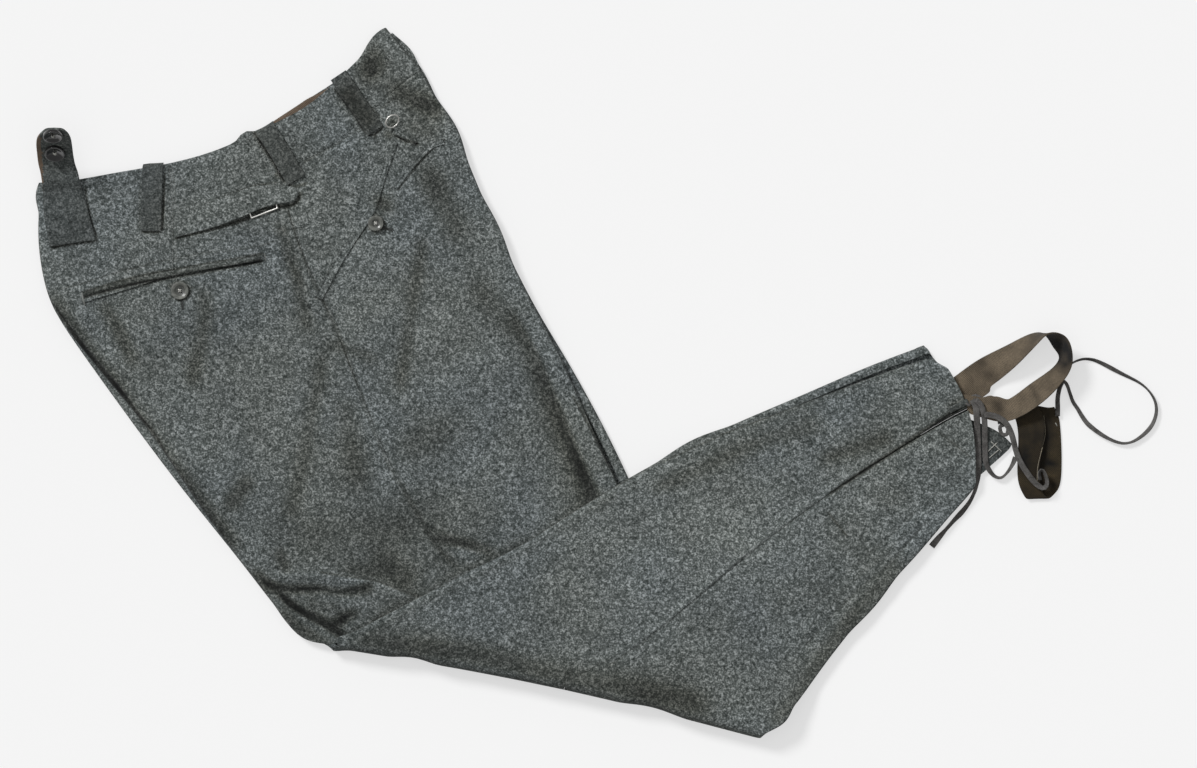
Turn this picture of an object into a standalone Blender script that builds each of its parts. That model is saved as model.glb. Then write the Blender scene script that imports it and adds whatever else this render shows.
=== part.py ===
"""Mountain trousers of heavy melange wool, laid on their side and folded once at the knee.

The right hip lies uppermost. Both legs lie one on the other, and the pair is turned back at the knee,
so the thigh shows the right leg's outer side and the lower leg shows the left leg's outer side.
X runs to the right and Y up across the floor, Z up from it. The tables are in millimetres.
"""
import math

import bpy
import numpy as np
from mathutils import Vector
from mathutils.bvhtree import BVHTree

MM = 0.001

# Cloth and the spaces between its layers
WOOL = 2.0
SEAM_GAP = 0.3
LAYER_GAP = 0.6
FOLD_GAP = 3.0
TUCK_SHORT = 0.8
TUCK_LONG = 6.0

# The knee fold is pressed: its outer layers stand out less than a round fold's would, by this much,
# from this radius on and over this reach. Its back and front ends lie in by the two tucks
FOLD_PRESS = 3.4
FOLD_PRESS_START = 4.4
FOLD_PRESS_REACH = 7.2
FOLD_TUCKS = (9.0, 4.0)

# Sections across the stacked legs, from the waist to the knee fold. "back" and "front" are the two
# edges of the stack, "seam" the share of the width at which the side seam lies, "hang" how far the
# waist curve still shows, "bow" how far the section swells down the leg. "back_peek" and "front_peek"
# are how far the upper leg's edges lie inside the lower leg's. "loft" is the height in the middle,
# "edge" the height at the edges, and "turn" the angle that the cloth rolls through at its edges.
COLUMNS = ("back_x", "back_y", "front_x", "front_y", "seam", "hang", "bow",
           "back_peek", "front_peek", "loft", "edge", "turn")
THIGH = np.array((
    (-482, 188, -152, 331, 0.645, 1.00, 0, 0, 3, 9.0, 7.5, 90),
    (-485, 141, -125, 294, 0.631, 1.00, 0, 0, 2, 10.5, 8.5, 90),
    (-480, 100, -90, 237, 0.602, 0.85, 0, 0, 1, 13.0, 9.5, 100),
    (-473, 73, -76, 198, 0.597, 0.65, 0, 0, 0, 15.0, 11.0, 130),
    (-451, 39, -59, 158, 0.585, 0.45, 0, 1, 0, 16.0, 13.0, 165),
    (-422, -2, -38, 113, 0.567, 0.30, 0, 6, 0, 16.5, 13.0, 180),
    (-388, -49, -14, 66, 0.539, 0.18, 0, 10, 1, 16.5, 13.0, 180),
    (-356, -92, 14, 21, 0.504, 0.08, 0, 6, 4, 16.5, 13.0, 180),
    (-323, -133, 41, -28, 0.476, 0.00, 0, 2, 10, 16.0, 13.0, 180),
    (-291, -173, 67, -80, 0.470, 0.00, 0, 1, 12, 15.5, 13.0, 180),
    (-264, -208, 99, -151, 0.492, 0.00, -2, 1, 11, 15.0, 12.5, 180),
    (-241, -232, 146, -244, 0.524, 0.00, -5, 0, 6, 13.0, 11.5, 180),
    (-213, -240, 201, -328, 0.540, 0.00, -8, 0, 0, 11.5, 10.5, 180),
), dtype=float)

# The same sections from the knee fold to the hem, where the left leg is the upper one
LOWER_LEG = np.array((
    (-213, -240, 201, -328, 0.540, 0.00, 8, 0, 0, 11.5, 10.5, 180),
    (-189, -235, 221, -311, 0.540, 0.00, 6, 0, 0, 12.0, 10.5, 180),
    (-158, -218, 238, -290, 0.556, 0.00, 3, 0, 0, 13.0, 11.0, 180),
    (-120, -199, 255, -266, 0.567, 0.00, 1, 0, 0, 13.5, 11.0, 180),
    (-78, -176, 273, -243, 0.566, 0.00, 0, 0, 0, 13.5, 11.0, 180),
    (-31, -154, 290, -221, 0.559, 0.00, 0, 0, 0, 13.5, 11.0, 180),
    (18, -122, 308, -200, 0.557, 0.00, 0, 0, 0, 13.5, 11.0, 180),
    (70, -90, 326, -180, 0.554, 0.00, 0, 1, 0, 13.5, 11.0, 180),
    (123, -61, 343, -162, 0.547, 0.00, 0, 3, 0, 13.0, 11.0, 180),
    (176, -36, 359, -143, 0.541, 0.00, 0, 6, 0, 13.0, 11.0, 180),
    (232, -13, 374, -125, 0.536, 0.00, 0, 9, 0, 12.5, 11.0, 180),
    (290, 13, 388, -110, 0.530, 0.00, 5, 11, 0, 12.0, 11.0, 180),
    (355, 37, 397.5, -98, 0.490, 0.00, 15, 13, 0, 11.5, 10.5, 180),
), dtype=float)
KNEE = len(THIGH) - 1
HEM = KNEE + 1 + len(LOWER_LEG) - 1

# How far the waist curve hangs below a straight line from back to front
WAIST_CURVE = np.array((
    # share, hang
    (0.00, 0), (0.12, 15), (0.24, 23), (0.35, 34), (0.50, 43), (0.62, 40), (0.71, 39),
    (0.78, 36), (0.84, 25), (0.91, 13), (0.96, 2), (1.00, 0),
), dtype=float)
# The far side of the waist lies a little lower, but shows above the near side beside the side seam
FAR_WAIST_DROP = 2.0
FAR_WAIST_RISE = 11.0
FAR_WAIST_PLACE = 0.755
FAR_WAIST_REACH = 0.06

# Stations at which the walls have their points: on the thigh, round the fold, on the lower leg
THIGH_STATIONS = (0.5, 1.5, 2, 3, 4, 5, 6, 7, 8, 8.7, 9.3, 9.8, 10.3, 10.8, 11.3, 11.7, 12)
FOLD_STEPS = 5
LOWER_STATIONS = (0, 0.5, 1, 1.7, 2.4, 3.2, 4, 4.6, 5.2, 5.8, 6.4, 7, 8, 9, 10, 11, 11.6, 12)
WAISTBAND_STATION = 1.0
SIDE_VENT_STATION = KNEE + 1 + 9.6
SIDE_VENT_GAP = 3.0

# Distances from an edge at which a panel has its points, and the number of even steps from the
# last of them to the side seam
EDGE_STOPS = (14.0, 30.0)
SEAM_STEPS = 4
ROLL_STEPS = 4
CORE_NOSE = 8.0
CORE_NOSE_HALF = 0.8
CORE_GAP = 0.9
CORE_END_SQUEEZE = 0.4

# Pieces sewn on
CLOTH_REACH = 4.0
LINING_START = 0.56
LINING_END = 0.9
LINING_STEPS = 9
LINING_TOP_STATION = 0.03
LINING_FOOT_STATION = 0.5
LINING_HEIGHT = 3.0
LINING_THICKNESS = 1.0
LOOP_THICKNESS = 1.8
TAB_THICKNESS = 2.4
TAB_BUTTON_CLEAR = 0.6
CINCH_THICKNESS = 2.0
WELT_THICKNESS = 1.2
STRAP_THICKNESS = 1.2
BUTTON_STEPS = 20
HOLE_RADIUS = 0.8
HOLE_SPREAD = 1.9
RING_X = -151.0
RING_Y = 245.5
RING_RADIUS = 6.8
RING_WIRE = 1.4
RING_LEAN = 40.0
RING_TURN = 42.0
RING_CLEAR = 0.4
BUCKLE_WIRE = 2.4
BUCKLE_CLEAR = 0.2
TAPE_RADIUS = 1.5
TAPE_SPACING = 8.0
TAPE_FLOOR_GAP = 0.1
TAPE_REACH = 2.2
TAPE_SLOPE = 0.45

# The largest folds: a line across the cloth, its half width and its height
FOLD_COLUMNS = ("start_x", "start_y", "end_x", "end_y", "half_width", "height")
THIGH_FOLDS = (
    (-274, -178, -195, -179, 11, 4.0),
    (-191, -181, -120, -204, 11, 4.5),
    (-280, -186, -196, -238, 8, -4.0),
    (-112, -146, -56, -163, 9, 2.0),
    (-26, 41, 36, -104, 13, -3.0),
    (-8, 35, 50, -92, 10, 1.2),
    (-136, 100, -142, -1, 20, -1.8),
    (-294, -92, -299, -167, 26, -1.5),
)
LOWER_LEG_FOLDS = (
    (-125, -242, 44, -242, 26, -1.5),
    (44, -204, 195, -110, 30, 1.2),
)

# The share of the stack's height at which the folds start to show, and over which they grow
FOLD_FOOT = 0.5
FOLD_RISE = 0.3

# How cloth that lies across an edge comes down to the floor
DRAPE_REACH = 32.0
DRAPE_SLOPE = 0.32
DRAPE_RINGS = (0, 8, 16, 24, 32, 40, 48, 58, 70, 84)
DRAPE_RAYS = 16


def row_at(table, station):
    """A table row at a station between its rows, on a smooth curve through them."""
    last = len(table) - 1
    first = min(int(station), last - 1)
    share = station - first
    before, start, end, after = (table[min(max(k, 0), last)] for k in range(first - 1, first + 3))
    return 0.5 * (2 * start + (end - before) * share
                  + (2 * before - 5 * start + 4 * end - after) * share ** 2
                  + (3 * start - before - 3 * end + after) * share ** 3)


def smooth(value):
    """Zero to one with soft ends."""
    value = min(max(value, 0.0), 1.0)
    return value * value * (3.0 - 2.0 * value)


def section(station):
    """The section at a station: thigh up to KNEE, the fold up to KNEE + 1, then the lower leg."""
    on_thigh = station <= KNEE
    in_fold = KNEE < station < KNEE + 1
    if on_thigh or in_fold:
        values = row_at(THIGH, min(station, KNEE))
    else:
        values = row_at(LOWER_LEG, station - KNEE - 1)
    cut = dict(zip(COLUMNS, values))
    back = np.array((cut["back_x"], cut["back_y"]))
    front = np.array((cut["front_x"], cut["front_y"]))
    cut["width"] = float(np.linalg.norm(front - back))
    cut["start"] = back
    cut["along"] = (front - back) / cut["width"]
    down_leg = np.array((cut["along"][1], -cut["along"][0]))
    cut["down_leg"] = down_leg if on_thigh or in_fold else -down_leg
    cut["station"] = station
    cut["place"] = "thigh" if on_thigh else "fold" if in_fold else "lower leg"
    return cut


def plan(cut, across, far=False):
    """The floor point of a section at a distance from its back edge."""
    share = across / cut["width"]
    hang = float(np.interp(share, WAIST_CURVE[:, 0], WAIST_CURVE[:, 1]))
    if far:
        rise = math.exp(-((share - FAR_WAIST_PLACE) / FAR_WAIST_REACH) ** 2)
        hang += FAR_WAIST_DROP - FAR_WAIST_RISE * rise
    point = cut["start"] + cut["along"] * across
    point = point - np.array((0.0, cut["hang"] * hang))
    return point + cut["down_leg"] * cut["bow"] * math.sin(math.pi * min(max(share, 0.0), 1.0))


def height(cut, across):
    """The height of the stacked layers, without folds."""
    share = min(max(across / cut["width"], 0.0), 1.0)
    return cut["edge"] + (cut["loft"] - cut["edge"]) * math.sin(math.pi * share) ** 0.7


def relief(point, folds):
    """The height that the folds add at a floor point."""
    total = 0.0
    for fold in folds:
        values = dict(zip(FOLD_COLUMNS, fold))
        start = np.array((values["start_x"], values["start_y"]))
        span = np.array((values["end_x"], values["end_y"])) - start
        share = float(np.dot(point - start, span) / np.dot(span, span))
        nearest = start + span * min(max(share, 0.0), 1.0)
        distance = float(np.linalg.norm(point - nearest))
        total += values["height"] * math.exp(-(distance / values["half_width"]) ** 2)
    return total


def place(cut, across, level, far=False):
    """A point of the stack: level 0 is the left leg's outer face, and the top level the right's."""
    point = plan(cut, across, far)
    top = height(cut, across)
    if cut["place"] == "thigh":
        lift = smooth((level / top - FOLD_FOOT) / FOLD_RISE)
        return Vector((point[0], point[1], level + lift * relief(point, THIGH_FOLDS)))
    if cut["place"] == "fold":
        centre = top + FOLD_GAP / 2
        radius = centre - level
        angle = math.pi * (cut["station"] - KNEE) - math.pi / 2
        pressed = radius - FOLD_PRESS * smooth((radius - FOLD_PRESS_START) / FOLD_PRESS_REACH)
        point = point + cut["down_leg"] * pressed * math.cos(angle)
        return Vector((point[0], point[1], centre + radius * math.sin(angle)))
    above = top - level
    lift = smooth((above / top - FOLD_FOOT) / FOLD_RISE)
    base = drape(cut, point, across)
    return Vector((point[0], point[1], base + above + lift * relief(point, LOWER_LEG_FOLDS)))


def drape(cut, point, across):
    """The height of the lower leg's underside over the thigh and the floor."""
    highest = -1000.0
    for ring in DRAPE_RINGS:
        for ray in range(DRAPE_RAYS if ring else 1):
            angle = 2 * math.pi * ray / DRAPE_RAYS
            spot = Vector((point[0] + ring * math.cos(angle), point[1] + ring * math.sin(angle), 500))
            hit = thigh_surface.ray_cast(spot, Vector((0, 0, -1)))[0]
            if hit is not None:
                highest = max(highest, hit.z - DRAPE_SLOPE * max(0.0, ring - DRAPE_REACH))
    resting = max(highest + LAYER_GAP, 0.0)
    from_fold = cut["station"] - KNEE - 1
    if from_fold < 1.5:
        axis = section(KNEE)
        at_fold = height(axis, across / cut["width"] * axis["width"]) + FOLD_GAP
        return at_fold + (max(resting, 0.0) - at_fold) * smooth(from_fold / 1.5)
    return resting


def roll(cut):
    """The radius of the rolled edge and the length that it tucks in."""
    turn = math.radians(cut["turn"])
    tuck = TUCK_SHORT + (TUCK_LONG - TUCK_SHORT) * ((cut["turn"] - 90) / 90) ** 3
    half = cut["edge"] / 2 - SEAM_GAP / 2
    radius = (half - tuck * math.sin(turn)) / (1 - math.cos(turn))
    return radius, tuck


def edge_points(cut, inset):
    """Distance and depth of a rolled edge, from its tucked end to the flat, on one face of the wall."""
    radius, tuck = roll(cut)
    turn = math.radians(cut["turn"])
    reach = radius - inset
    points = [(radius - reach * math.sin(turn) - tuck * math.cos(turn),
               radius - reach * math.cos(turn) + tuck * math.sin(turn))]
    for step in range(ROLL_STEPS, -1, -1):
        angle = turn * step / ROLL_STEPS
        points.append((radius - reach * math.sin(angle), radius - reach * math.cos(angle)))
    return points


def seam_distance(cut, leg):
    """The side seam's distance from the back edge, and half the space between the panels there."""
    share = smooth((cut["station"] - SIDE_VENT_STATION) / (HEM - SIDE_VENT_STATION))
    vent = SIDE_VENT_GAP * share if leg == "left" else 0.0
    return cut["seam"] * cut["width"], (SEAM_GAP + vent) / 2


def peeks(cut, leg):
    """How far this leg's back and front edges lie inside the section's ends."""
    if cut["place"] == "fold":
        turned = math.sin(math.pi * (cut["station"] - KNEE))
        return FOLD_TUCKS[0] * turned, FOLD_TUCKS[1] * turned
    upper = "right" if cut["place"] == "thigh" else "left"
    if leg != upper:
        return 0.0, 0.0
    return cut["back_peek"], cut["front_peek"]


def flat_stops(cut, leg, panel):
    """Distances from the back edge at which a panel's flat part has its points, edge to seam."""
    seam, half_gap = seam_distance(cut, leg)
    peek = peeks(cut, leg)[0 if panel == "back" else 1]
    reach = seam if panel == "back" else cut["width"] - seam
    radius = roll(cut)[0]
    stops = [peek + radius + stop for stop in EDGE_STOPS]
    rest = reach - half_gap - stops[-1]
    stops += [stops[-1] + rest * step / SEAM_STEPS for step in range(1, SEAM_STEPS + 1)]
    return stops if panel == "back" else [cut["width"] - stop for stop in stops]


def panel_row(cut, leg, panel, inset):
    """One row of a panel's points, from the back towards the front, on one face of the wall."""
    peek = peeks(cut, leg)[0 if panel == "back" else 1]
    far = leg == "left"
    row = []
    for distance, depth in edge_points(cut, inset):
        across = peek + distance
        level = depth if leg == "left" else cut["edge"] - depth
        row.append(place(cut, across if panel == "back" else cut["width"] - across, level, far))
    for across in flat_stops(cut, leg, panel):
        level = inset if leg == "left" else height(cut, across) - inset
        row.append(place(cut, across, level, far))
    return row if panel == "back" else row[::-1]


def loft_wall(name, outer, inner, material):
    """A closed wall lofted through rows of points on its outer and inner faces."""
    rows = len(outer)
    columns = len(outer[0])
    points = [point * MM for face in (outer, inner) for row in face for point in row]
    inner_start = rows * columns

    def at(row, column, inside):
        return row * columns + column + (inner_start if inside else 0)

    faces = []
    for row in range(rows - 1):
        for column in range(columns - 1):
            corners = ((row, column), (row, column + 1), (row + 1, column + 1), (row + 1, column))
            first, second, third, fourth = (at(r, c, False) for r, c in corners)
            faces += [(first, second, third), (first, third, fourth)]
            first, second, third, fourth = (at(r, c, True) for r, c in corners)
            faces += [(third, second, first), (fourth, third, first)]
    rim = [(0, column) for column in range(columns - 1)]
    rim += [(row, columns - 1) for row in range(rows - 1)]
    rim += [(rows - 1, column) for column in range(columns - 1, 0, -1)]
    rim += [(row, 0) for row in range(rows - 1, 0, -1)]
    for here, there in zip(rim, rim[1:] + rim[:1]):
        faces.append([at(*there, False), at(*here, False), at(*here, True), at(*there, True)])
    return finish_mesh(name, points, faces, material)


def finish_mesh(name, points, faces, material):
    """An object from points and faces, with its faces turned outwards."""
    mesh = bpy.data.meshes.new(name)
    mesh.from_pydata([tuple(point) for point in points], [], faces)
    mesh.update()
    volume = 0.0
    mesh.calc_loop_triangles()
    for triangle in mesh.loop_triangles:
        first, second, third = (mesh.vertices[k].co for k in triangle.vertices)
        volume += first.dot(second.cross(third))
    if volume < 0:
        mesh.flip_normals()
    mesh.shade_smooth()
    mesh.set_sharp_from_angle(angle=math.radians(50))
    mesh.materials.append(material)
    piece = bpy.data.objects.new(name, mesh)
    garment.objects.link(piece)
    return piece


def surface_of(pieces):
    """The triangles of some pieces, for finding the height of what lies on them, in millimetres."""
    bpy.context.view_layer.update()
    depsgraph = bpy.context.evaluated_depsgraph_get()
    points = []
    triangles = []
    for piece in pieces:
        start = len(points)
        mesh = piece.evaluated_get(depsgraph).data
        points += [vertex.co / MM for vertex in mesh.vertices]
        mesh.calc_loop_triangles()
        triangles += [[start + k for k in t.vertices] for t in mesh.loop_triangles]
    return BVHTree.FromPolygons(points, triangles)


def cloth_material(name, colour, roughness, metallic=0.0):
    """A plain finish in the piece's colour."""
    material = bpy.data.materials.new(name)
    material.use_nodes = True
    shader = material.node_tree.nodes["Principled BSDF"]
    shader.inputs["Base Color"].default_value = (*colour, 1.0)
    shader.inputs["Roughness"].default_value = roughness
    shader.inputs["Metallic"].default_value = metallic
    return material


for leftover in list(bpy.data.objects):
    bpy.data.objects.remove(leftover, do_unlink=True)
garment = bpy.data.collections.new("mountain_trousers")
bpy.context.scene.collection.children.link(garment)

wool = cloth_material("melange_wool", (0.075, 0.08, 0.078), 0.95)
lining_cotton = cloth_material("lining_cotton", (0.11, 0.085, 0.065), 0.9)
strap_cotton = cloth_material("strap_cotton", (0.1, 0.08, 0.055), 0.9)
tape_cotton = cloth_material("tape_cotton", (0.07, 0.065, 0.06), 0.9)
black_gloss = cloth_material("black_gloss", (0.01, 0.01, 0.01), 0.15)
horn_resin = cloth_material("horn_resin", (0.1, 0.11, 0.1), 0.35)
steel = cloth_material("steel", (0.6, 0.6, 0.6), 0.25, 1.0)


def panel(name, leg, side, stations):
    """A leg panel's wall through the sections at some stations."""
    cuts = [section(station) for station in stations]
    outer = [panel_row(cut, leg, side, 0.0) for cut in cuts]
    inner = [panel_row(cut, leg, side, WOOL) for cut in cuts]
    return loft_wall(name, outer, inner, wool)


# The thigh alone is lofted first: the lower legs lie on it, and what it measures decides their height
half_gap_station = SEAM_GAP / 2 / float(np.linalg.norm(THIGH[1][:2] - THIGH[0][:2]))
full_thigh = (0.0,) + THIGH_STATIONS
guides = [panel("guide", leg, side, full_thigh) for leg in ("left", "right") for side in ("back", "front")]
thigh_surface = surface_of(guides)
for guide in guides:
    bpy.data.objects.remove(guide, do_unlink=True)

# Leg panels. The backs reach the waist edge, and the fronts start below the waistband
after_knee = [KNEE + (step + 1) / (FOLD_STEPS + 1) for step in range(FOLD_STEPS)]
after_knee += [KNEE + 1 + station for station in LOWER_STATIONS]
back_stations = [0.0, 0.5, WAISTBAND_STATION] + list(THIGH_STATIONS[1:]) + after_knee
front_stations = [WAISTBAND_STATION + half_gap_station] + list(THIGH_STATIONS[1:]) + after_knee
band_stations = [0.0, 0.5, WAISTBAND_STATION - half_gap_station]
for leg in ("left", "right"):
    panel(f"{leg}_back_panel", leg, "back", back_stations)
    panel(f"{leg}_front_panel", leg, "front", front_stations)
    panel(f"{leg}_waistband", leg, "front", band_stations)

# The hidden layers, one rounded solid: the inner leg cloth and the pocket bags between the panels
core_stations = [WAISTBAND_STATION] + list(THIGH_STATIONS[1:]) + after_knee[:-2]


def inner_face(cut, leg, stops):
    """Points at some distances on the inner faces of one leg's two panels."""
    back_peek, front_peek = peeks(cut, leg)
    radius = roll(cut)[0]
    own = [back_peek + radius] + flat_stops(cut, leg, "back")
    own += flat_stops(cut, leg, "front")[::-1] + [cut["width"] - front_peek - radius]
    points = [place(cut, across, WOOL if leg == "left" else height(cut, across) - WOOL, leg == "left")
              for across in own]
    row = []
    for stop in stops:
        index = max(k for k in range(len(own) - 1) if own[k] <= stop)
        share = (stop - own[index]) / (own[index + 1] - own[index])
        row.append(points[index].lerp(points[index + 1], share))
    return row


def core_row(cut, leg, squeeze):
    """One row of the hidden layers under one leg's panels, drawn in to a rounded nose at each edge."""
    upper = "right" if cut["place"] == "thigh" else "left"
    back_peek, front_peek = peeks(cut, upper)
    nose = roll(cut)[0] + CORE_NOSE
    stops = [back_peek + nose] + flat_stops(cut, upper, "back")
    stops += flat_stops(cut, upper, "front")[::-1] + [cut["width"] - front_peek - nose]
    own = inner_face(cut, leg, stops)
    other = inner_face(cut, "right" if leg == "left" else "left", stops)
    row = []
    for index, (near, far) in enumerate(zip(own, other)):
        apart = (far - near).length
        half = CORE_NOSE_HALF if index in (0, len(own) - 1) else apart / 2 - CORE_GAP
        row.append(near + (far - near) * (0.5 - half * squeeze / apart))
    return row


squeezes = [CORE_END_SQUEEZE] + [1.0] * (len(core_stations) - 2) + [CORE_END_SQUEEZE]
core_cuts = [section(station) for station in core_stations]
loft_wall("hidden_layers",
          [core_row(cut, "left", squeeze) for cut, squeeze in zip(core_cuts, squeezes)],
          [core_row(cut, "right", squeeze) for cut, squeeze in zip(core_cuts, squeezes)],
          wool)

cloth_surface = surface_of(list(garment.objects))


def highest_within(surface, x, y, reach, seen_from=500.0):
    """The highest point of a surface, seen from a height, within reach of a floor point, or None."""
    highest = None
    for index in range(17):
        angle = math.pi / 4 * index
        distance = 0.0 if index == 16 else reach if index < 8 else reach / 2
        spot = Vector((x + distance * math.cos(angle), y + distance * math.sin(angle), seen_from))
        hit = surface.ray_cast(spot, Vector((0, 0, -1)))[0]
        if hit is not None and (highest is None or hit.z > highest):
            highest = hit.z
    return highest


def smooth_rows(rows, steps):
    """Rows of a table with even steps put between them on a smooth curve."""
    table = np.array(rows, dtype=float)
    count = (len(rows) - 1) * steps
    return [row_at(table, step / steps) for step in range(count + 1)]


def cloth_strip(name, rows, thickness, material, steps=2, across=3, on_cloth=True):
    """A strip between two edges: each row gives its left and right edge, and how high it lies.

    On the cloth the heights count from the cloth, and beside it, or off it, from the floor.
    """
    points = []
    table = smooth_rows(rows, steps)
    for left_x, left_y, left_rise, right_x, right_y, right_rise in table:
        for step in range(across + 1):
            share = step / across
            x = left_x + (right_x - left_x) * share
            y = left_y + (right_y - left_y) * share
            rise = left_rise + (right_rise - left_rise) * share
            under = highest_within(cloth_surface, x, y, CLOTH_REACH) if on_cloth else None
            z = rise if under is None else under + SEAM_GAP + rise
            points.append(Vector((x, y, z)) * MM)
    columns = across + 1
    faces = [(row * columns + k, row * columns + k + 1, (row + 1) * columns + k + 1, (row + 1) * columns + k)
             for row in range(len(table) - 1) for k in range(across)]
    mesh = bpy.data.meshes.new(name)
    mesh.from_pydata([tuple(point) for point in points], [], faces)
    mesh.update()
    if sum(face.normal.z * face.area for face in mesh.polygons) < 0:
        mesh.flip_normals()
    mesh.shade_smooth()
    mesh.materials.append(material)
    piece = bpy.data.objects.new(name, mesh)
    garment.objects.link(piece)
    wall = piece.modifiers.new("thickness", "SOLIDIFY")
    wall.thickness = thickness * MM
    wall.offset = 1.0 if on_cloth else 0.0
    wall.use_even_offset = True
    return piece


def banded(rows, rises):
    """Strip rows from edge points and one height a row."""
    return [(x1, y1, rise, x2, y2, rise) for (x1, y1, x2, y2), rise in zip(rows, rises)]


def along_line(points, width, rises):
    """Strip rows of one width along a line of points."""
    rows = []
    for index, (x, y) in enumerate(points):
        before = np.array(points[max(index - 1, 0)])
        after = np.array(points[min(index + 1, len(points) - 1)])
        ahead = (after - before) / np.linalg.norm(after - before)
        side = np.array((-ahead[1], ahead[0])) * width / 2
        rows.append((x + side[0], y + side[1], x - side[0], y - side[1]))
    return banded(rows, rises)


# Waist lining: the cotton facing inside the far waist, which shows beside the side seam
lining_rows = []
for step in range(LINING_STEPS + 1):
    across_share = LINING_START + (LINING_END - LINING_START) * step / LINING_STEPS
    rims = []
    for station in (LINING_TOP_STATION, LINING_FOOT_STATION):
        cut = section(station)
        rims += list(plan(cut, across_share * cut["width"], True))
    lining_rows.append((rims[0], rims[1], LINING_HEIGHT, rims[2], rims[3], LINING_HEIGHT))
cloth_strip("waist_lining", lining_rows, LINING_THICKNESS, lining_cotton, steps=1, on_cloth=False)

# Belt loops: doubled wool over the waist edge, sewn at both ends and a little proud between
LOOPS = (
    # name, top x and y, foot x and y, width
    ("belt_loop_back", -376.5, 209.0, -378.0, 142.5, 19.0),
    ("belt_loop_side", -274.0, 246.0, -241.5, 190.5, 19.0),
    ("belt_loop_front", -202.0, 289.0, -167.0, 237.0, 17.0),
)
LOOP_SHARES = (0.0, 0.07, 0.3, 0.6, 0.9, 1.0)
LOOP_RISES = (0.4, 0.4, 1.2, 1.2, 0.4, 0.0)
for name, top_x, top_y, foot_x, foot_y, width in LOOPS:
    line = [(top_x + (foot_x - top_x) * share, top_y + (foot_y - top_y) * share) for share in LOOP_SHARES]
    cloth_strip(name, along_line(line, width, LOOP_RISES), LOOP_THICKNESS, wool)

# Centre-back tab: a wide doubled strap on the hip whose tongue stands up above the waist
TAB_EDGES = ((-473, 128, -430, 134), (-479, 158, -437, 161), (-479, 180, -443, 182),
             (-481, 197, -446, 197), (-483, 206, -449, 206), (-483.5, 217.6, -450, 217.6),
             (-483, 228, -450.5, 228), (-478, 234, -453, 234), (-472, 238, -458, 238))
TAB_RISES = (0.3, 0.4, 0.8, 14.5, 18.5, 29.5, 42.0, 51.0, 57.5)
cloth_strip("centre_back_tab", banded(TAB_EDGES, TAB_RISES), TAB_THICKNESS, wool)

# Side cinch strap, over its buckle, with a pointed free end
CINCH_EDGES = ((-357, 163, -356, 136), (-339, 166, -339, 140.5), (-321.5, 170, -321.5, 145),
               (-305, 176, -307, 150), (-289, 182, -293, 155), (-279, 185, -276, 163),
               (-266, 185.5, -259, 167.5), (-253, 184.5, -248, 169.5), (-245, 184, -243, 171.5),
               (-240.5, 181, -240, 176))
CINCH_RISES = (0.0, 0.1, 0.6, 2.0, 3.4, 3.6, 3.6, 2.2, 1.0, 0.6)
cloth_strip("side_cinch_strap", banded(CINCH_EDGES, CINCH_RISES), CINCH_THICKNESS, wool)

# Back pocket welt, front slash pocket edge, curved flap edge and watch pocket welt
WELT_LINES = (
    # name, width, points of the middle line
    ("back_pocket_welt", 5.2, ((-442, 77.5), (-420, 84.5), (-401, 90), (-379, 97), (-356, 103.5),
                               (-335, 107.5), (-313, 111), (-292, 114.5), (-272, 117.5))),
    ("front_pocket_edge", 7.5, ((-150, 227), (-155, 211), (-160, 197), (-166, 177), (-172, 160),
                                (-183, 143), (-198, 120), (-212, 95), (-220, 79.5))),
    ("flap_edge", 5.0, ((-103, 226.5), (-111, 224), (-119.5, 218.5), (-133.5, 203.5), (-148.5, 183))),
    ("watch_pocket_welt", 4.0, ((-149, 234.5), (-141, 231), (-129, 224.5))),
)
for name, width, line in WELT_LINES:
    cloth_strip(name, along_line(line, width, [0.0] * len(line)), WELT_THICKNESS, wool, across=2)

# Right hem end with the eyelets of the tie, which shows beyond the upper hem
HEM_END_EDGES = ((384, -33, 386, -84), (393, -35, 393, -86), (401, -38, 399.5, -89), (417, -45, 410, -80),
                 (427, -53, 421.5, -70), (432, -58, 429.5, -62.5))
HEM_END_RISES = (3.4, 3.4, 3.2, 2.8, 2.4, 2.0)
cloth_strip("right_hem_end", banded(HEM_END_EDGES, HEM_END_RISES), WOOL, wool, on_cloth=False)

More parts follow.
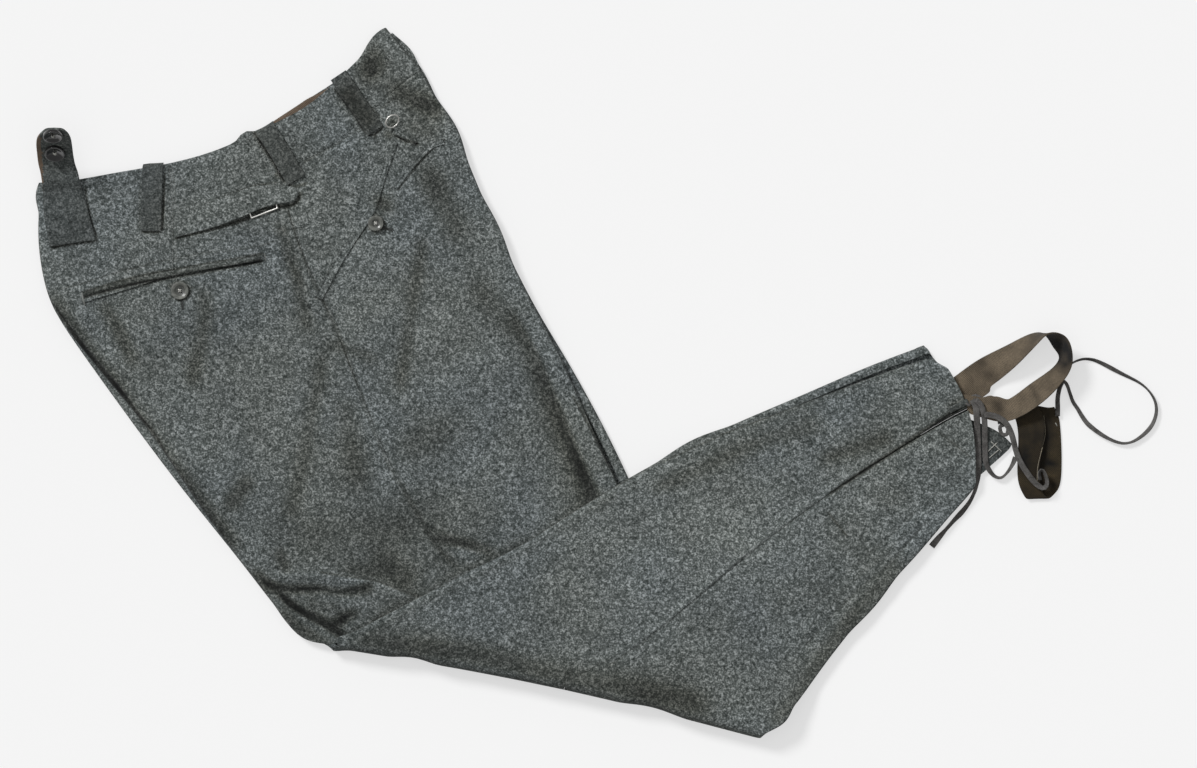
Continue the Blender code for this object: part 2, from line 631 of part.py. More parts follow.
# Foot straps: flat cotton twill, each row the two edges of the strap with their heights
FOOT_STRAP_ONE = (
    (366, -3, 3.0, 383, -23, 3.0), (373, 2, 3.0, 391, -17, 3.0), (380, 7, 2.6, 399, -13, 3.4),
    (401, 22, 1.0, 421, 3, 5.0), (427, 34.5, 0.8, 437.5, 18, 16.0), (449, 45.6, 0.8, 455, 37, 23.0),
    (463, 46, 0.8, 466, 47, 26.0), (471, 33.4, 0.8, 482, 43, 22.0), (477.5, 24, 0.8, 487.5, 26, 24.0),
    (470, 12.7, 2.5, 484, 8, 22.0), (449, -1.4, 4.6, 462, -17, 19.0), (428.6, -16.4, 6.4, 436, -34, 13.0),
    (411, -19, 7.4, 419, -37, 9.0), (399, -15, 8.0, 404, -33, 8.0), (385, -11, 8.2, 390, -29, 8.2),
)
FOOT_STRAP_TWO = (
    (430, -22, 6.0, 451, -11, 7.8), (436, -36, 2.6, 461, -28, 2.6), (438, -52, 5.0, 463, -43, 5.0),
    (437, -72, 6.4, 460, -64, 6.4), (437, -88, 6.4, 457, -84, 6.4), (439, -98, 6.2, 459, -97, 6.2),
    (443, -106, 5.0, 462, -106, 5.0), (446, -109, 3.2, 467, -108.5, 3.2), (449, -106, 1.2, 472, -105, 1.2),
    (452, -99, 0.7, 477, -98, 0.7), (456, -82, 0.7, 479, -82, 0.7), (455, -52, 0.7, 478.5, -52, 0.7),
    (452, -30, 0.7, 476, -28, 0.7), (455, -20, 0.7, 472, -17, 0.7),
)
for name, rows in (("foot_strap_one", FOOT_STRAP_ONE), ("foot_strap_two", FOOT_STRAP_TWO)):
    cloth_strip(name, rows, STRAP_THICKNESS, strap_cotton, on_cloth=False)


def button(name, x, y, z, tilt, radius, rim, dish, material):
    """A dished four-hole button, turned from its profile, with its foot at a point."""
    profile = ((0.0, 0.0), (radius - 1.2, 0.0), (radius, 0.9), (radius, 1.7), (radius - 0.9, rim),
               (radius - 2.0, rim), (radius - 3.2, dish), (0.0, dish))
    mesh = bpy.data.meshes.new(name)
    mesh.from_pydata([(r * MM, 0.0, h * MM) for r, h in reversed(profile)], [],
                     [(k, k + 1) for k in range(len(profile) - 1)])
    piece = bpy.data.objects.new(name, mesh)
    garment.objects.link(piece)
    turned = piece.modifiers.new("turned", "SCREW")
    turned.steps = BUTTON_STEPS
    turned.render_steps = BUTTON_STEPS
    turned.use_merge_vertices = True
    turned.merge_threshold = 0.00001
    mesh.materials.append(material)
    for index in range(4):
        angle = math.pi / 4 + math.pi / 2 * index
        bpy.ops.mesh.primitive_cylinder_add(vertices=8, radius=HOLE_RADIUS * MM, depth=4 * rim * MM,
                                            location=(HOLE_SPREAD * MM * math.cos(angle),
                                                      HOLE_SPREAD * MM * math.sin(angle), 0))
        cutter = bpy.context.object
        cutter.name = f"{name}_hole_{index}"
        cutter.hide_render = True
        cutter.display_type = "WIRE"
        bpy.context.collection.objects.unlink(cutter)
        cutters.objects.link(cutter)
        cutter.parent = piece
        hole = piece.modifiers.new(f"hole_{index}", "BOOLEAN")
        hole.object = cutter
        hole.operation = "DIFFERENCE"
    piece.location = (x * MM, y * MM, z * MM)
    piece.rotation_euler = (math.radians(tilt), 0, 0)
    return piece


cutters = bpy.data.collections.new("button_holes")
bpy.context.scene.collection.children.link(cutters)


POCKET_BUTTONS = (
    # name, x, y, radius, how far the pocket edge under it lifts it
    ("back_pocket_button", -350.6, 86.4, 8.3, 0.0),
    ("front_pocket_button", -166.5, 149.6, 7.2, WELT_THICKNESS + SEAM_GAP),
)
for name, x, y, radius, lift in POCKET_BUTTONS:
    foot = highest_within(cloth_surface, x, y, radius) + SEAM_GAP + lift
    button(name, x, y, foot, 0.0, radius, 2.8, 1.6, horn_resin)

TAB_BUTTONS = (
    # name, y of the tab under its foot, tilt
    ("tab_button_lower", 218.0, 46.5),
    ("tab_button_upper", 234.0, 56.5),
)
tab_y = [edge[1] for edge in TAB_EDGES]
for name, foot_y, tilt in TAB_BUTTONS:
    off = TAB_THICKNESS + SEAM_GAP + TAB_BUTTON_CLEAR
    lean = math.radians(tilt)
    tab_top = float(np.interp(foot_y, tab_y, TAB_RISES))
    button(name, -466.5, foot_y - off * math.sin(lean), tab_top + off * math.cos(lean), tilt, 9.4, 3.2, 1.8,
           black_gloss)

# Steel ring of the watch pocket, leaning on the cloth
bpy.ops.mesh.primitive_torus_add(major_segments=24, minor_segments=8, major_radius=RING_RADIUS * MM,
                                 minor_radius=RING_WIRE / 2 * MM)
ring = bpy.context.object
ring.name = "watch_pocket_ring"
bpy.context.collection.objects.unlink(ring)
garment.objects.link(ring)
ring.data.shade_smooth()
ring.data.materials.append(steel)
ring_lean = math.radians(RING_LEAN)
ring.rotation_euler = (ring_lean, 0, math.radians(RING_TURN))
ring.location = (RING_X * MM, RING_Y * MM,
                 (highest_within(cloth_surface, RING_X, RING_Y, RING_RADIUS) + SEAM_GAP + RING_WIRE / 2
                  + RING_RADIUS * math.sin(ring_lean) + RING_CLEAR) * MM)


def smooth_route(route, spacing):
    """Points at even spacing on a smooth curve through a route's points."""
    table = np.array(route, dtype=float)
    fine = np.array([row_at(table, t) for t in np.linspace(0, len(route) - 1, 40 * len(route))])
    lengths = np.concatenate(([0.0], np.cumsum(np.linalg.norm(np.diff(fine, axis=0), axis=1))))
    count = max(int(round(lengths[-1] / spacing)), 2)
    marks = np.linspace(0, lengths[-1], count + 1)
    axes = range(table.shape[1])
    return [tuple(np.interp(mark, lengths, fine[:, axis]) for axis in axes) for mark in marks]


def laid_tape(route, seen_from):
    """A tape's points, lying on what is under it and sloping gently down to the floor."""
    spots = smooth_route(route, TAPE_SPACING)
    stretches = []
    for (x, y), (next_x, next_y) in zip(spots, spots[1:]):
        rest = TAPE_RADIUS + TAPE_FLOOR_GAP
        for share in (0.0, 0.25, 0.5, 0.75, 1.0):
            under = highest_within(laid_surface, x + (next_x - x) * share, y + (next_y - y) * share,
                                   TAPE_REACH, seen_from)
            if under is not None:
                rest = max(rest, under + SEAM_GAP + TAPE_RADIUS)
        stretches.append(rest)
    rests = [max(pair) for pair in zip(stretches[:1] + stretches, stretches + stretches[-1:])]
    points = []
    for x, y in spots:
        slopes = [rest - TAPE_SLOPE * math.hypot(x - other_x, y - other_y)
                  for rest, (other_x, other_y) in zip(rests, spots)]
        points.append((x, y, max(slopes)))
    return points


def wire(name, points, radius, material, closed=False):
    """A round wire or cord along points, with filled ends."""
    curve = bpy.data.curves.new(name, "CURVE")
    curve.dimensions = "3D"
    curve.bevel_depth = radius * MM
    curve.bevel_resolution = 2
    curve.use_fill_caps = not closed
    spline = curve.splines.new("POLY")
    spline.points.add(len(points) - 1)
    for spot, point in zip(spline.points, points):
        spot.co = (point[0] * MM, point[1] * MM, point[2] * MM, 1.0)
    spline.use_cyclic_u = closed
    curve.materials.append(material)
    piece = bpy.data.objects.new(name, curve)
    garment.objects.link(piece)
    return piece


# Cinch buckle: a steel wire frame under the strap, its lower bar clear of the strap's edge
BUCKLE_CORNERS = ((-284, 153.5), (-258, 163.5), (-264, 180.5), (-290, 170.5))
frame_points = []
for here, there in zip(BUCKLE_CORNERS, BUCKLE_CORNERS[1:] + BUCKLE_CORNERS[:1]):
    for share in (0.12, 0.5, 0.88):
        x = here[0] + (there[0] - here[0]) * share
        y = here[1] + (there[1] - here[1]) * share
        cloth = highest_within(cloth_surface, x, y, CLOTH_REACH)
        frame_points.append((x, y, cloth + SEAM_GAP + BUCKLE_WIRE / 2 + BUCKLE_CLEAR))
wire("cinch_buckle", frame_points, BUCKLE_WIRE / 2, steel, closed=True)

# Tie tapes of the hems, in the four stretches that show
laid_surface = surface_of([piece for piece in garment.objects if piece.type == "MESH"])
TAPES = (
    # name, the height above which nothing lies under it, points of its middle line
    ("tie_tape_long", 500.0, (
        (394, -16), (399, -19), (401.6, -30), (401.6, -44), (401.8, -58), (402.2, -72), (402.6, -84),
        (402, -93), (400, -101), (397, -108), (390.5, -115.5), (382.5, -124), (375, -132.5), (367.5, -141),
        (361, -148), (356.5, -154))),
    ("tie_tape_short", 500.0, (
        (405, -24), (406.3, -34), (406.6, -46), (406.4, -60), (407.2, -71), (409.5, -80), (413, -87.5),
        (418.5, -91), (424.5, -88), (429, -82))),
    ("tie_tape_eyelet", 500.0, (
        (411.5, -29), (420, -33), (428, -41), (433.5, -52), (436, -69), (443.7, -82), (451, -92),
        (459, -98), (466.5, -97), (468.5, -90), (464, -83))),
    ("tie_tape_loop", 6.0, (
        (474.7, -27.7), (475.5, -16.4), (479.5, -7), (483.2, -0.5), (487.9, -14.6), (495.4, -26.8),
        (503.8, -39), (522.6, -52.2), (540.5, -56.9), (557.4, -47.5), (566.8, -33.4), (566.8, -17.4),
        (555.5, -2.3), (533, 9.9), (512, 20.5), (500, 22.5), (492.5, 20.5))),
)
for name, seen_from, route in TAPES:
    wire(name, laid_tape(route, seen_from), TAPE_RADIUS, tape_cotton)

# The origin lies under the middle of everything but the loose tapes
bpy.context.view_layer.update()
depsgraph = bpy.context.evaluated_depsgraph_get()
spots = []
for piece in garment.objects:
    if piece.type == "MESH":
        measured = piece.evaluated_get(depsgraph)
        spots += [measured.matrix_world @ vertex.co for vertex in measured.data.vertices]
for axis in range(2):
    middle = (min(spot[axis] for spot in spots) + max(spot[axis] for spot in spots)) / 2
    for piece in garment.objects:
        piece.location[axis] -= middle
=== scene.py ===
"""Mountain trousers of heavy melange wool, laid on their side and folded once at the knee.

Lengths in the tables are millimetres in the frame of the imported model: X to the right and Y up across
the floor, Z up from it.
"""
import math

import bmesh
import bpy
import numpy as np
from mathutils import Matrix, Vector
from mathutils.bvhtree import BVHTree


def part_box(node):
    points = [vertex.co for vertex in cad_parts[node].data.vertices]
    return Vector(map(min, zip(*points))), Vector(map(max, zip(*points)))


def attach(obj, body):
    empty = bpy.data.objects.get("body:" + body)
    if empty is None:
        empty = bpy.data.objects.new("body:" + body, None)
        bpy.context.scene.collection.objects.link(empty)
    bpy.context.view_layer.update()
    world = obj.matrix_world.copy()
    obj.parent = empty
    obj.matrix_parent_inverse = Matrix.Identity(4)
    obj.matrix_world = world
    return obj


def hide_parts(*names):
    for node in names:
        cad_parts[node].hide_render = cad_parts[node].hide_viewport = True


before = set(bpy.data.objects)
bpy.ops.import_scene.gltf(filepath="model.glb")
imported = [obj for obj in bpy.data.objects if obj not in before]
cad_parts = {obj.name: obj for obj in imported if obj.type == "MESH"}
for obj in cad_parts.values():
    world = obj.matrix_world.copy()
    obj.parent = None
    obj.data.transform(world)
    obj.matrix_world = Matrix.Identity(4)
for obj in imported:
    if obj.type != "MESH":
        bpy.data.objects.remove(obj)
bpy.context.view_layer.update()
MM = 0.001

# Room: a pale floor under a wide soft ceiling light and a stronger light from the upper left, with a camera
# straight above. The floor glows evenly to the camera, and lights the cloth as plain grey.
scene = bpy.context.scene
scene.view_settings.view_transform = "Standard"
FLOOR_SIZE = 9.0
FLOOR_DROP = 0.0004
FLOOR_GREY = (0.34, 0.34, 0.34, 1.0)
FLOOR_GLOW = 0.575
ROOM_LIGHT = 0.3
WHITE = (1.0, 1.0, 1.0, 1.0)
LIGHTS = (
    # name, strength, width as an angle, lean from straight above, turn
    ("ceiling_light", 0.55, 70.0, 8.0, 200.0),
    ("window_light", 2.5, 15.0, 50.0, 225.0),
)
CAMERA_PLACE = (0.04125, 0.00132, 6.012)
CAMERA_LENS = 191.96


def new_material(name):
    """A material made of shader nodes."""
    material = bpy.data.materials.new(name)
    material.use_nodes = True
    return material


def set_inputs(owner, node, inputs):
    """Sets the inputs of a node: a socket is linked to its input, and any other value is written there."""
    for name, value in inputs.items():
        if isinstance(value, bpy.types.NodeSocket):
            owner.node_tree.links.new(value, node.inputs[name])
        else:
            node.inputs[name].default_value = value
    return node


def add_node(material, kind, inputs, **settings):
    """A new node in a material, with its settings and its inputs."""
    node = material.node_tree.nodes.new(kind)
    for setting, value in settings.items():
        setattr(node, setting, value)
    return set_inputs(material, node, inputs)


def finish_with(material, inputs):
    """Sets the inputs of a material's own shader."""
    set_inputs(material, material.node_tree.nodes["Principled BSDF"], inputs)
    return material


bpy.ops.object.select_all(action="DESELECT")
bpy.ops.mesh.primitive_plane_add(size=FLOOR_SIZE, location=(0.0, 0.0, -FLOOR_DROP))
floor = bpy.context.object
floor.name = "floor"
floor_paint = new_material("floor_paint")
seen_by = add_node(floor_paint, "ShaderNodeLightPath", {}).outputs
either = add_node(floor_paint, "ShaderNodeMath", {0: seen_by["Is Camera Ray"], 1: seen_by["Is Glossy Ray"]},
                  operation="MAXIMUM")
glow = add_node(floor_paint, "ShaderNodeMath", {0: either.outputs["Value"], 1: FLOOR_GLOW},
                operation="MULTIPLY")
finish_with(floor_paint, {"Base Color": FLOOR_GREY, "Roughness": 1.0, "Specular IOR Level": 0.0,
                          "Emission Color": WHITE, "Emission Strength": glow.outputs["Value"]})
floor.data.materials.append(floor_paint)

room = bpy.data.worlds.new("room")
room.use_nodes = True
set_inputs(room, room.node_tree.nodes["Background"], {"Color": WHITE, "Strength": ROOM_LIGHT})
scene.world = room
for name, strength, spread, lean, turn in LIGHTS:
    bpy.ops.object.light_add(type="SUN", rotation=(math.radians(lean), 0.0, math.radians(turn)))
    lamp = bpy.context.object
    lamp.name = name
    lamp.data.energy = strength
    lamp.data.angle = math.radians(spread)

bpy.ops.object.camera_add(location=CAMERA_PLACE)
camera = bpy.context.object
camera.name = "camera"
camera.data.sensor_width = 36.0
camera.data.lens = CAMERA_LENS
camera.data.clip_start = 0.1
camera.data.clip_end = 50.0
scene.camera = camera

# Inner leg cloth and pocket bags: the hidden layers between the outer panels, of the same heavy wool.
# They are sewn into the side seams, and every crease of the outer cloth presses into them. The first four
# lines are each followed by more than one crease.
KNEE_TURN = ((-262, -204), (-244, -226), (-224, -239), (-200, -246))
BACK_LAYER = ((-451, 49), (-436, 29), (-407, -5), (-392, -26), (-374, -48), (-361, -73))
FRONT_FOLD = ((-7, 1), (6, -30), (20, -64), (37, -102), (54, -140))
FRONT_LAYER = ((16, -8), (26, -26), (39, -51), (52, -76), (60, -89), (68, -102))
THIGH_CREASES = (
    # Each row: height, reach to the left and to the right of its line, share by which the cloth is painted
    # darker (minus, painted shade) or paler (painted highlight) there, line across the cloth
    # Knee: folds that fan out from the back edge to the lower leg, with painted shade in their hollows and a
    # painted shadow along the lower leg's edge
    (0.0, 1.0, 1.2, -0.5, (
        (-222, -175), (-202, -178), (-188, -180), (-173, -182), (-160, -186), (-143, -193),
        (-125, -199))),
    (3.2, 2.0, 8.0, 0.08, (
        (-270, -177), (-240, -177), (-221, -178), (-202, -180), (-188, -183), (-173, -185),
        (-160, -188), (-143, -195), (-124, -202))),
    (-2.2, 12.0, 2.0, -0.45, (
        (-215, -171), (-188, -177), (-172, -179), (-160, -183), (-143, -190), (-120, -198))),
    (-0.8, 14.0, 10.0, -0.6, ((-182, -154), (-150, -172), (-118, -190))),
    (-0.6, 10.0, 10.0, -0.3, ((-122, -124), (-103, -154), (-108, -182))),
    (-2.6, 3.5, 5.0, -0.82, (
        (-280, -183), (-250, -191), (-222, -191), (-200, -194), (-181, -191), (-166, -185))),
    (0.0, 1.2, 1.2, -0.2, ((-244, -191), (-222, -191), (-200, -194), (-187, -192))),
    (1.6, 6.0, 6.0, -0.32, ((-240, -199), (-215, -206), (-194, -210))),
    (-1.0, 4.5, 3.4, -0.45, ((-284, -172), (-262, -193), (-247, -206), (-238, -212))),
    (-3.0, 3.6, 2.6, -0.95, (
        (-262, -194), (-246, -208), (-231, -217), (-218.5, -222), (-211, -228), (-203, -234),
        (-190, -243))),
    (0.0, 2.8, 2.8, -0.7, ((-240, -212), (-226, -219), (-214, -225), (-204, -232))),
    (0.0, 9.0, 3.0, -0.5, (
        (-252, -202), (-242, -209), (-228, -218), (-217, -225), (-206, -231), (-192, -241))),
    (-1.4, 5.0, 5.0, -0.9, ((-216, -234), (-199, -219), (-180, -210))),
    (-1.2, 2.2, 2.2, -0.34, ((-178, -228), (-165, -220), (-150, -213))),
    (0.0, 7.0, 7.0, -0.3, ((-294, -166), (-276, -188), (-260, -204))),
    (0.0, 7.0, 7.0, -0.6, KNEE_TURN),
    (-1.0, 6.0, 6.0, -0.48, ((-261, -148), (-256, -164), (-248, -182))),
    (-1.4, 5.0, 5.0, -0.66, ((-118, -142), (-87, -148), (-52, -158))),
    (0.8, 5.0, 5.0, 0.22, ((-110, -152), (-85, -158), (-66, -168))),
    (0.0, 7.0, 3.0, -0.36, (
        (-200, -240), (-171, -222), (-140, -205), (-127, -199), (-93, -179), (-58, -163), (-14, -142),
        (34, -108), (52, -97))),
    # Front edge: a long soft fold beside it with painted shade in its valley, and the edge of the layer
    # under it, with painted shade along it
    (-3.6, 4.0, 12.0, -0.5, ((-46, 78), (-38, 64), (-20, 32), *FRONT_FOLD)),
    (0.0, 3.0, 9.0, -0.26, FRONT_FOLD),
    (0.0, 6.0, 22.0, -0.24, ((-30, 48), *FRONT_FOLD)),
    (1.4, 6.0, 6.0, -0.02, ((-24, 56), (-4, 22), (10, -8), (24, -40), (40, -74), (54, -102))),
    (-1.2, 6.0, 1.0, -0.14, FRONT_LAYER),
    (-0.4, 0.9, 0.9, -0.5, FRONT_LAYER),
    (-0.4, 0.9, 0.9, -0.3, ((-18, 75), (-3, 47), (8, 26))),
    # Back edge: the layer under it shows as a strip of painted shade, and a broad band of painted shade runs
    # along the edge
    (-1.4, 1.0, 8.0, -0.36, ((-462, 62), *BACK_LAYER, (-345, -98))),
    (-0.4, 1.0, 1.0, -0.45, ((-474, 80), (-466, 69), *BACK_LAYER, (-349, -93))),
    (0.0, 10.0, 10.0, -0.66, (
        (-480, 96), (-472, 80), (-427, 14), (-362, -75), (-319, -131), (-292, -164))),
    # Thigh: broad soft unevenness, with painted shade and painted highlight in broad zones
    (-1.4, 8.0, 8.0, -0.52, ((-331, 102), (-328, 65), (-335, 29), (-344, -10))),
    (-1.2, 7.0, 7.0, -0.6, ((-430, 84), (-412, 56), (-401, 33), (-392, 12))),
    (-1.4, 8.0, 8.0, -0.76, ((-312, -124), (-298, -103), (-282, -79))),
    (-2.2, 5.0, 6.0, -0.56, ((-260, 160), (-247, 120), (-239, 90), (-230, 46))),
    (0.8, 6.0, 8.0, 0.16, ((-272, 132), (-260, 110), (-250, 74))),
    (-1.4, 8.0, 8.0, -0.42, ((-216, 42), (-224, -9), (-232, -51), (-241, -94), (-251, -134))),
    (-1.2, 6.0, 6.0, -0.3, ((-222, 40), (-190, 32), (-160, 20))),
    (-1.8, 6.0, 7.0, -0.46, ((-121, 148), (-131, 90), (-138, 43), (-147, -16))),
    (-0.8, 13.0, 13.0, -0.5, ((-196, -2), (-190, -55), (-180, -116))),
    (-1.0, 18.0, 18.0, -0.34, ((-166, -86), (-126, -51), (-62, -24))),
    (-0.8, 30.0, 30.0, -0.34, ((-318, -116), (-220, -145), (-126, -126), (-20, -108))),
    (-1.4, 14.0, 14.0, -0.38, ((-86, 112), (-61, 80), (-34, 38))),
    (0.8, 16.0, 16.0, 0.32, ((-204, 118), (-190, 80), (-192, 44))),
    (0.6, 14.0, 14.0, 0.02, ((-314, -46), (-303, -72), (-292, -92))),
    (0.6, 22.0, 22.0, 0.22, ((-96, -50), (-70, -88), (-50, -118))),
    (0.7, 20.0, 20.0, -0.2, ((-380, 60), (-376, 20), (-360, -30))),
    (0.5, 14.0, 14.0, -0.04, ((-440, 166), (-416, 172), (-398, 176))),
    # Hip and waist front: hollows beside the pocket and under the waistband, darkened with painted shade
    (-2.0, 14.0, 14.0, -0.62, ((-132, 222), (-111, 184), (-96, 154), (-78, 126))),
    (-1.0, 7.0, 7.0, -0.72, ((-176, 182), (-159, 169), (-148, 158))),
    (1.2, 3.5, 3.5, -0.1, ((-161, 193), (-152, 181), (-144, 170))),
    (-1.2, 11.0, 11.0, -0.88, ((-178, 334), (-170, 311), (-175, 292), (-184, 274))),
    (-1.6, 11.0, 11.0, -0.7, ((-164, 290), (-145, 276), (-130, 268), (-115, 261), (-94, 242))),
    (-0.4, 10.0, 10.0, -0.72, ((-206, 288), (-190, 266), (-164, 236))),
    (0.8, 10.0, 10.0, -0.38, ((-150, 252), (-128, 240), (-100, 236))),
    # Seams and darts, with painted shade in their grooves
    (-0.9, 1.6, 1.6, -0.26, (
        (-253, 170), (-245, 148), (-239, 127), (-224, 91), (-206, 57), (-185, -1), (-158, -70),
        (-115, -144), (-91, -173))),
    (0.5, 4.0, 4.0, 0.02, (
        (-246, 172), (-238, 150), (-231, 129), (-216, 93), (-198, 59), (-177, 1), (-150, -68),
        (-108, -142))),
    (-0.4, 0.9, 0.9, -0.2, (
        (-465, 91), (-446, 95), (-424, 102), (-381, 114), (-347, 121), (-320, 126), (-281, 131),
        (-261, 136))),
    (-0.8, 2.2, 2.2, -0.05, ((-362, 207), (-359, 181), (-358, 146), (-358, 108), (-357, 94))),
    (-0.7, 2.6, 2.6, -0.04, ((-286, 235), (-276, 217), (-268, 193))),
    # Painted shadow in the gaps beside the side belt loop and above the cinch strap
    (-1.2, 1.7, 1.7, -0.95, (
        (-285, 242), (-278.8, 231.5), (-271.2, 220), (-263.6, 210), (-258.6, 200.4), (-252.5, 189))),
    (-0.6, 1.2, 1.2, -0.6, (
        (-330, 170), (-321.5, 172), (-305, 178), (-289, 184), (-279, 187.5), (-268, 188.5))),
    # Seam under the waistband, and a short stitched row beside the cinch strap, with painted shade along
    # them
    (-0.5, 0.9, 0.9, -0.3, ((-147, 273), (-155, 267), (-164, 259))),
    (-0.5, 0.9, 0.9, -0.3, ((-180, 244), (-195, 234), (-210, 224), (-237, 209))),
    (-0.5, 0.8, 0.8, -0.2, ((-254, 146), (-243, 147), (-232, 149))),
    # Back pocket: painted shade along the upper edge of its welt, in its mouth and its buttonhole, and a
    # painted shadow round the ring that its button presses
    (-0.6, 1.0, 1.0, -0.7, ((-446, 86), (-436, 90), (-392, 102.5), (-340, 112), (-272, 124))),
    (-1.6, 1.5, 1.9, -0.95, ((-447, 81.5), (-441, 83.4), (-393, 96), (-340, 105), (-272, 118))),
    (0.0, 2.4, 2.4, -0.4, ((-446, 84.5), (-438, 87), (-393, 99.5), (-340, 108.5), (-272, 121))),
    (-0.6, 0.9, 0.9, -0.45, ((-350, 82), (-350, 77), (-349, 71))),
    (-0.4, 1.0, 1.4, -0.7, (
        (-361, 89), (-357, 81.5), (-350, 80), (-344.5, 84), (-343, 90), (-346.5, 96), (-353, 98),
        (-359, 95), (-361, 89))),
    # Front pocket with its buttonhole and button, the flap above it and the watch pocket, each with painted
    # shade, and a painted shadow inside the watch pocket's ring and round the button
    (-1.0, 0.8, 0.8, -0.6, (
        (-159, 208), (-165, 191), (-170, 178), (-178, 155), (-188, 139), (-204, 118), (-214, 100),
        (-225, 80))),
    (-0.6, 0.8, 0.8, -0.4, (
        (-156, 208), (-162, 190), (-167, 177), (-175, 154), (-185, 138), (-201, 117), (-211, 99),
        (-222, 79))),
    (-0.9, 0.8, 0.8, -0.7, (
        (-101, 231), (-111, 229), (-120, 222), (-130, 210), (-139, 200), (-151, 185))),
    (-0.6, 0.8, 0.8, -0.4, (
        (-101, 228), (-110, 226), (-118, 219), (-128, 208), (-137, 197), (-149, 182))),
    (-0.8, 1.3, 1.3, -0.9, ((-153, 236.5), (-150.5, 235.4), (-142, 231), (-129.6, 227.4), (-126, 226))),
    (-0.8, 0.9, 0.9, -0.7, ((-162, 148.5), (-157, 147), (-151, 145))),
    (-0.5, 4.5, 4.5, -0.86, ((-158, 252), (-153, 247.5), (-148, 243))),
    (-0.4, 4.0, 4.0, -0.74, ((-163, 240), (-157, 236), (-150, 233))),
    (-0.4, 1.0, 1.4, -0.7, (
        (-176, 152), (-172.5, 145.5), (-167, 144.3), (-161.6, 148), (-160.4, 153), (-163.5, 158),
        (-169, 160), (-174, 157.5), (-176, 152))),
    # Shade at the edges of the loops, the tab and the strap
    (-0.6, 1.1, 1.1, -0.6, ((-367, 200), (-368, 164), (-369.5, 146), (-378, 144), (-390, 144.5))),
    (-0.3, 1.2, 1.2, -0.25, ((-389, 200), (-390, 172), (-390.5, 146))),
    (-0.6, 1.1, 1.1, -0.65, ((-442, 188), (-436.5, 156), (-431, 137), (-446, 134.5), (-475, 129))),
    (-0.8, 1.2, 1.8, -0.75, (
        (-360, 138), (-324, 146.5), (-288, 158), (-276, 166), (-259, 168.5), (-244, 171), (-238, 184))),
    (-0.3, 0.9, 0.9, -0.25, ((-321, 175), (-300, 182), (-281, 188), (-258, 191))),
    (-0.6, 1.1, 1.1, -0.6, ((-278, 234), (-263.5, 210), (-251, 190), (-242, 187), (-231.5, 191))),
    (-0.6, 1.1, 1.1, -0.65, ((-209, 281), (-191.5, 258.5), (-174, 235), (-160.5, 243.5))),
    (-0.3, 0.8, 0.8, -0.35, ((-193, 288), (-172.5, 261.5), (-160.5, 249))),
)
LOWER_LEG_CREASES = (
    # Rows as above, the shade column painted shade and highlight. Front edge: a seam close beside it, with
    # painted shade along it
    (-0.6, 0.9, 0.9, -0.4, (
        (100, -73), (110, -68), (143, -53), (176, -39), (208, -27), (245, -11), (286, 3), (322, 17),
        (353, 28))),
    (0.0, 1.0, 5.0, -0.15, ((176, -40), (208, -29), (245, -13), (286, 1), (322, 15), (348, 24))),
    # Back edge: painted shade where the cloth rolls under
    (0.0, 14.0, 10.0, -0.66, (
        (-206, -241), (-145, -244), (-70, -255), (-14, -268), (43, -280), (99, -292), (158, -306))),
    (0.0, 7.0, 7.0, -0.6, KNEE_TURN),
    (0.0, 9.0, 9.0, -0.36, ((200, -326), (231, -286), (278, -220), (333, -160))),
    # Broad soft unevenness, with painted shade and painted highlight in broad zones
    (-1.4, 9.0, 9.0, -0.36, ((82, -102), (130, -82), (174, -62), (215, -46), (262, -33))),
    (-1.4, 8.0, 8.0, -0.46, ((242, -74), (270, -64), (296, -56), (326, -44))),
    (0.8, 3.0, 6.0, -0.14, ((-186, -241), (-140, -212), (-93, -186), (-40, -160), (20, -124), (62, -97))),
    (0.5, 38.0, 38.0, 0.32, ((30, -196), (90, -168), (156, -150), (236, -98))),
    (0.5, 18.0, 18.0, 0.06, ((146, -258), (174, -277), (196, -294))),
    (-1.0, 15.0, 15.0, 0.02, ((150, -252), (196, -232), (236, -196))),
    (-0.6, 9.0, 9.0, -0.08, ((280, -100), (310, -108), (346, -96))),
    (-0.4, 6.0, 6.0, -0.72, ((366, -25), (381, -18), (394, -12))),
    # Hem: stitched rows along its turned edge, with painted shade in their grooves
    (-1.0, 2.0, 2.0, -0.14, (
        (353, -126), (335, -145), (314, -170), (286, -192), (263, -215), (235, -247))),
    (0.6, 3.0, 3.0, -0.1, ((347, -122), (319, -150), (289, -175), (257, -208), (230, -240))),
    (-0.8, 2.0, 2.0, -0.1, ((340, -118), (312, -145), (283, -170), (252, -201), (226, -232))),
    (-0.4, 0.9, 0.9, -0.16, ((324, 15), (337, -3), (352, -29))),
    # Seam, with the open vent at the hem, a dart and a stitched bar, each with painted shade, and a painted
    # highlight along the seam
    (-0.9, 1.4, 1.4, -0.26, (
        (47, -266), (96, -231), (142, -193), (192, -151), (246, -111), (291, -80), (332, -56),
        (365, -33), (390, -14))),
    (-1.0, 1.6, 1.6, -0.8, ((256, -104), (293, -79), (323, -59), (347, -43), (373, -26), (382, -19))),
    (0.5, 4.0, 4.0, 0.24, ((51, -258), (100, -223), (146, -185), (196, -143), (250, -103), (294, -72))),
    (-0.7, 1.0, 1.0, -0.55, ((256, -118), (266, -131), (276, -143))),
    (-0.5, 1.0, 1.0, -0.35, ((361, -44), (378, -57), (394, -70))),
)
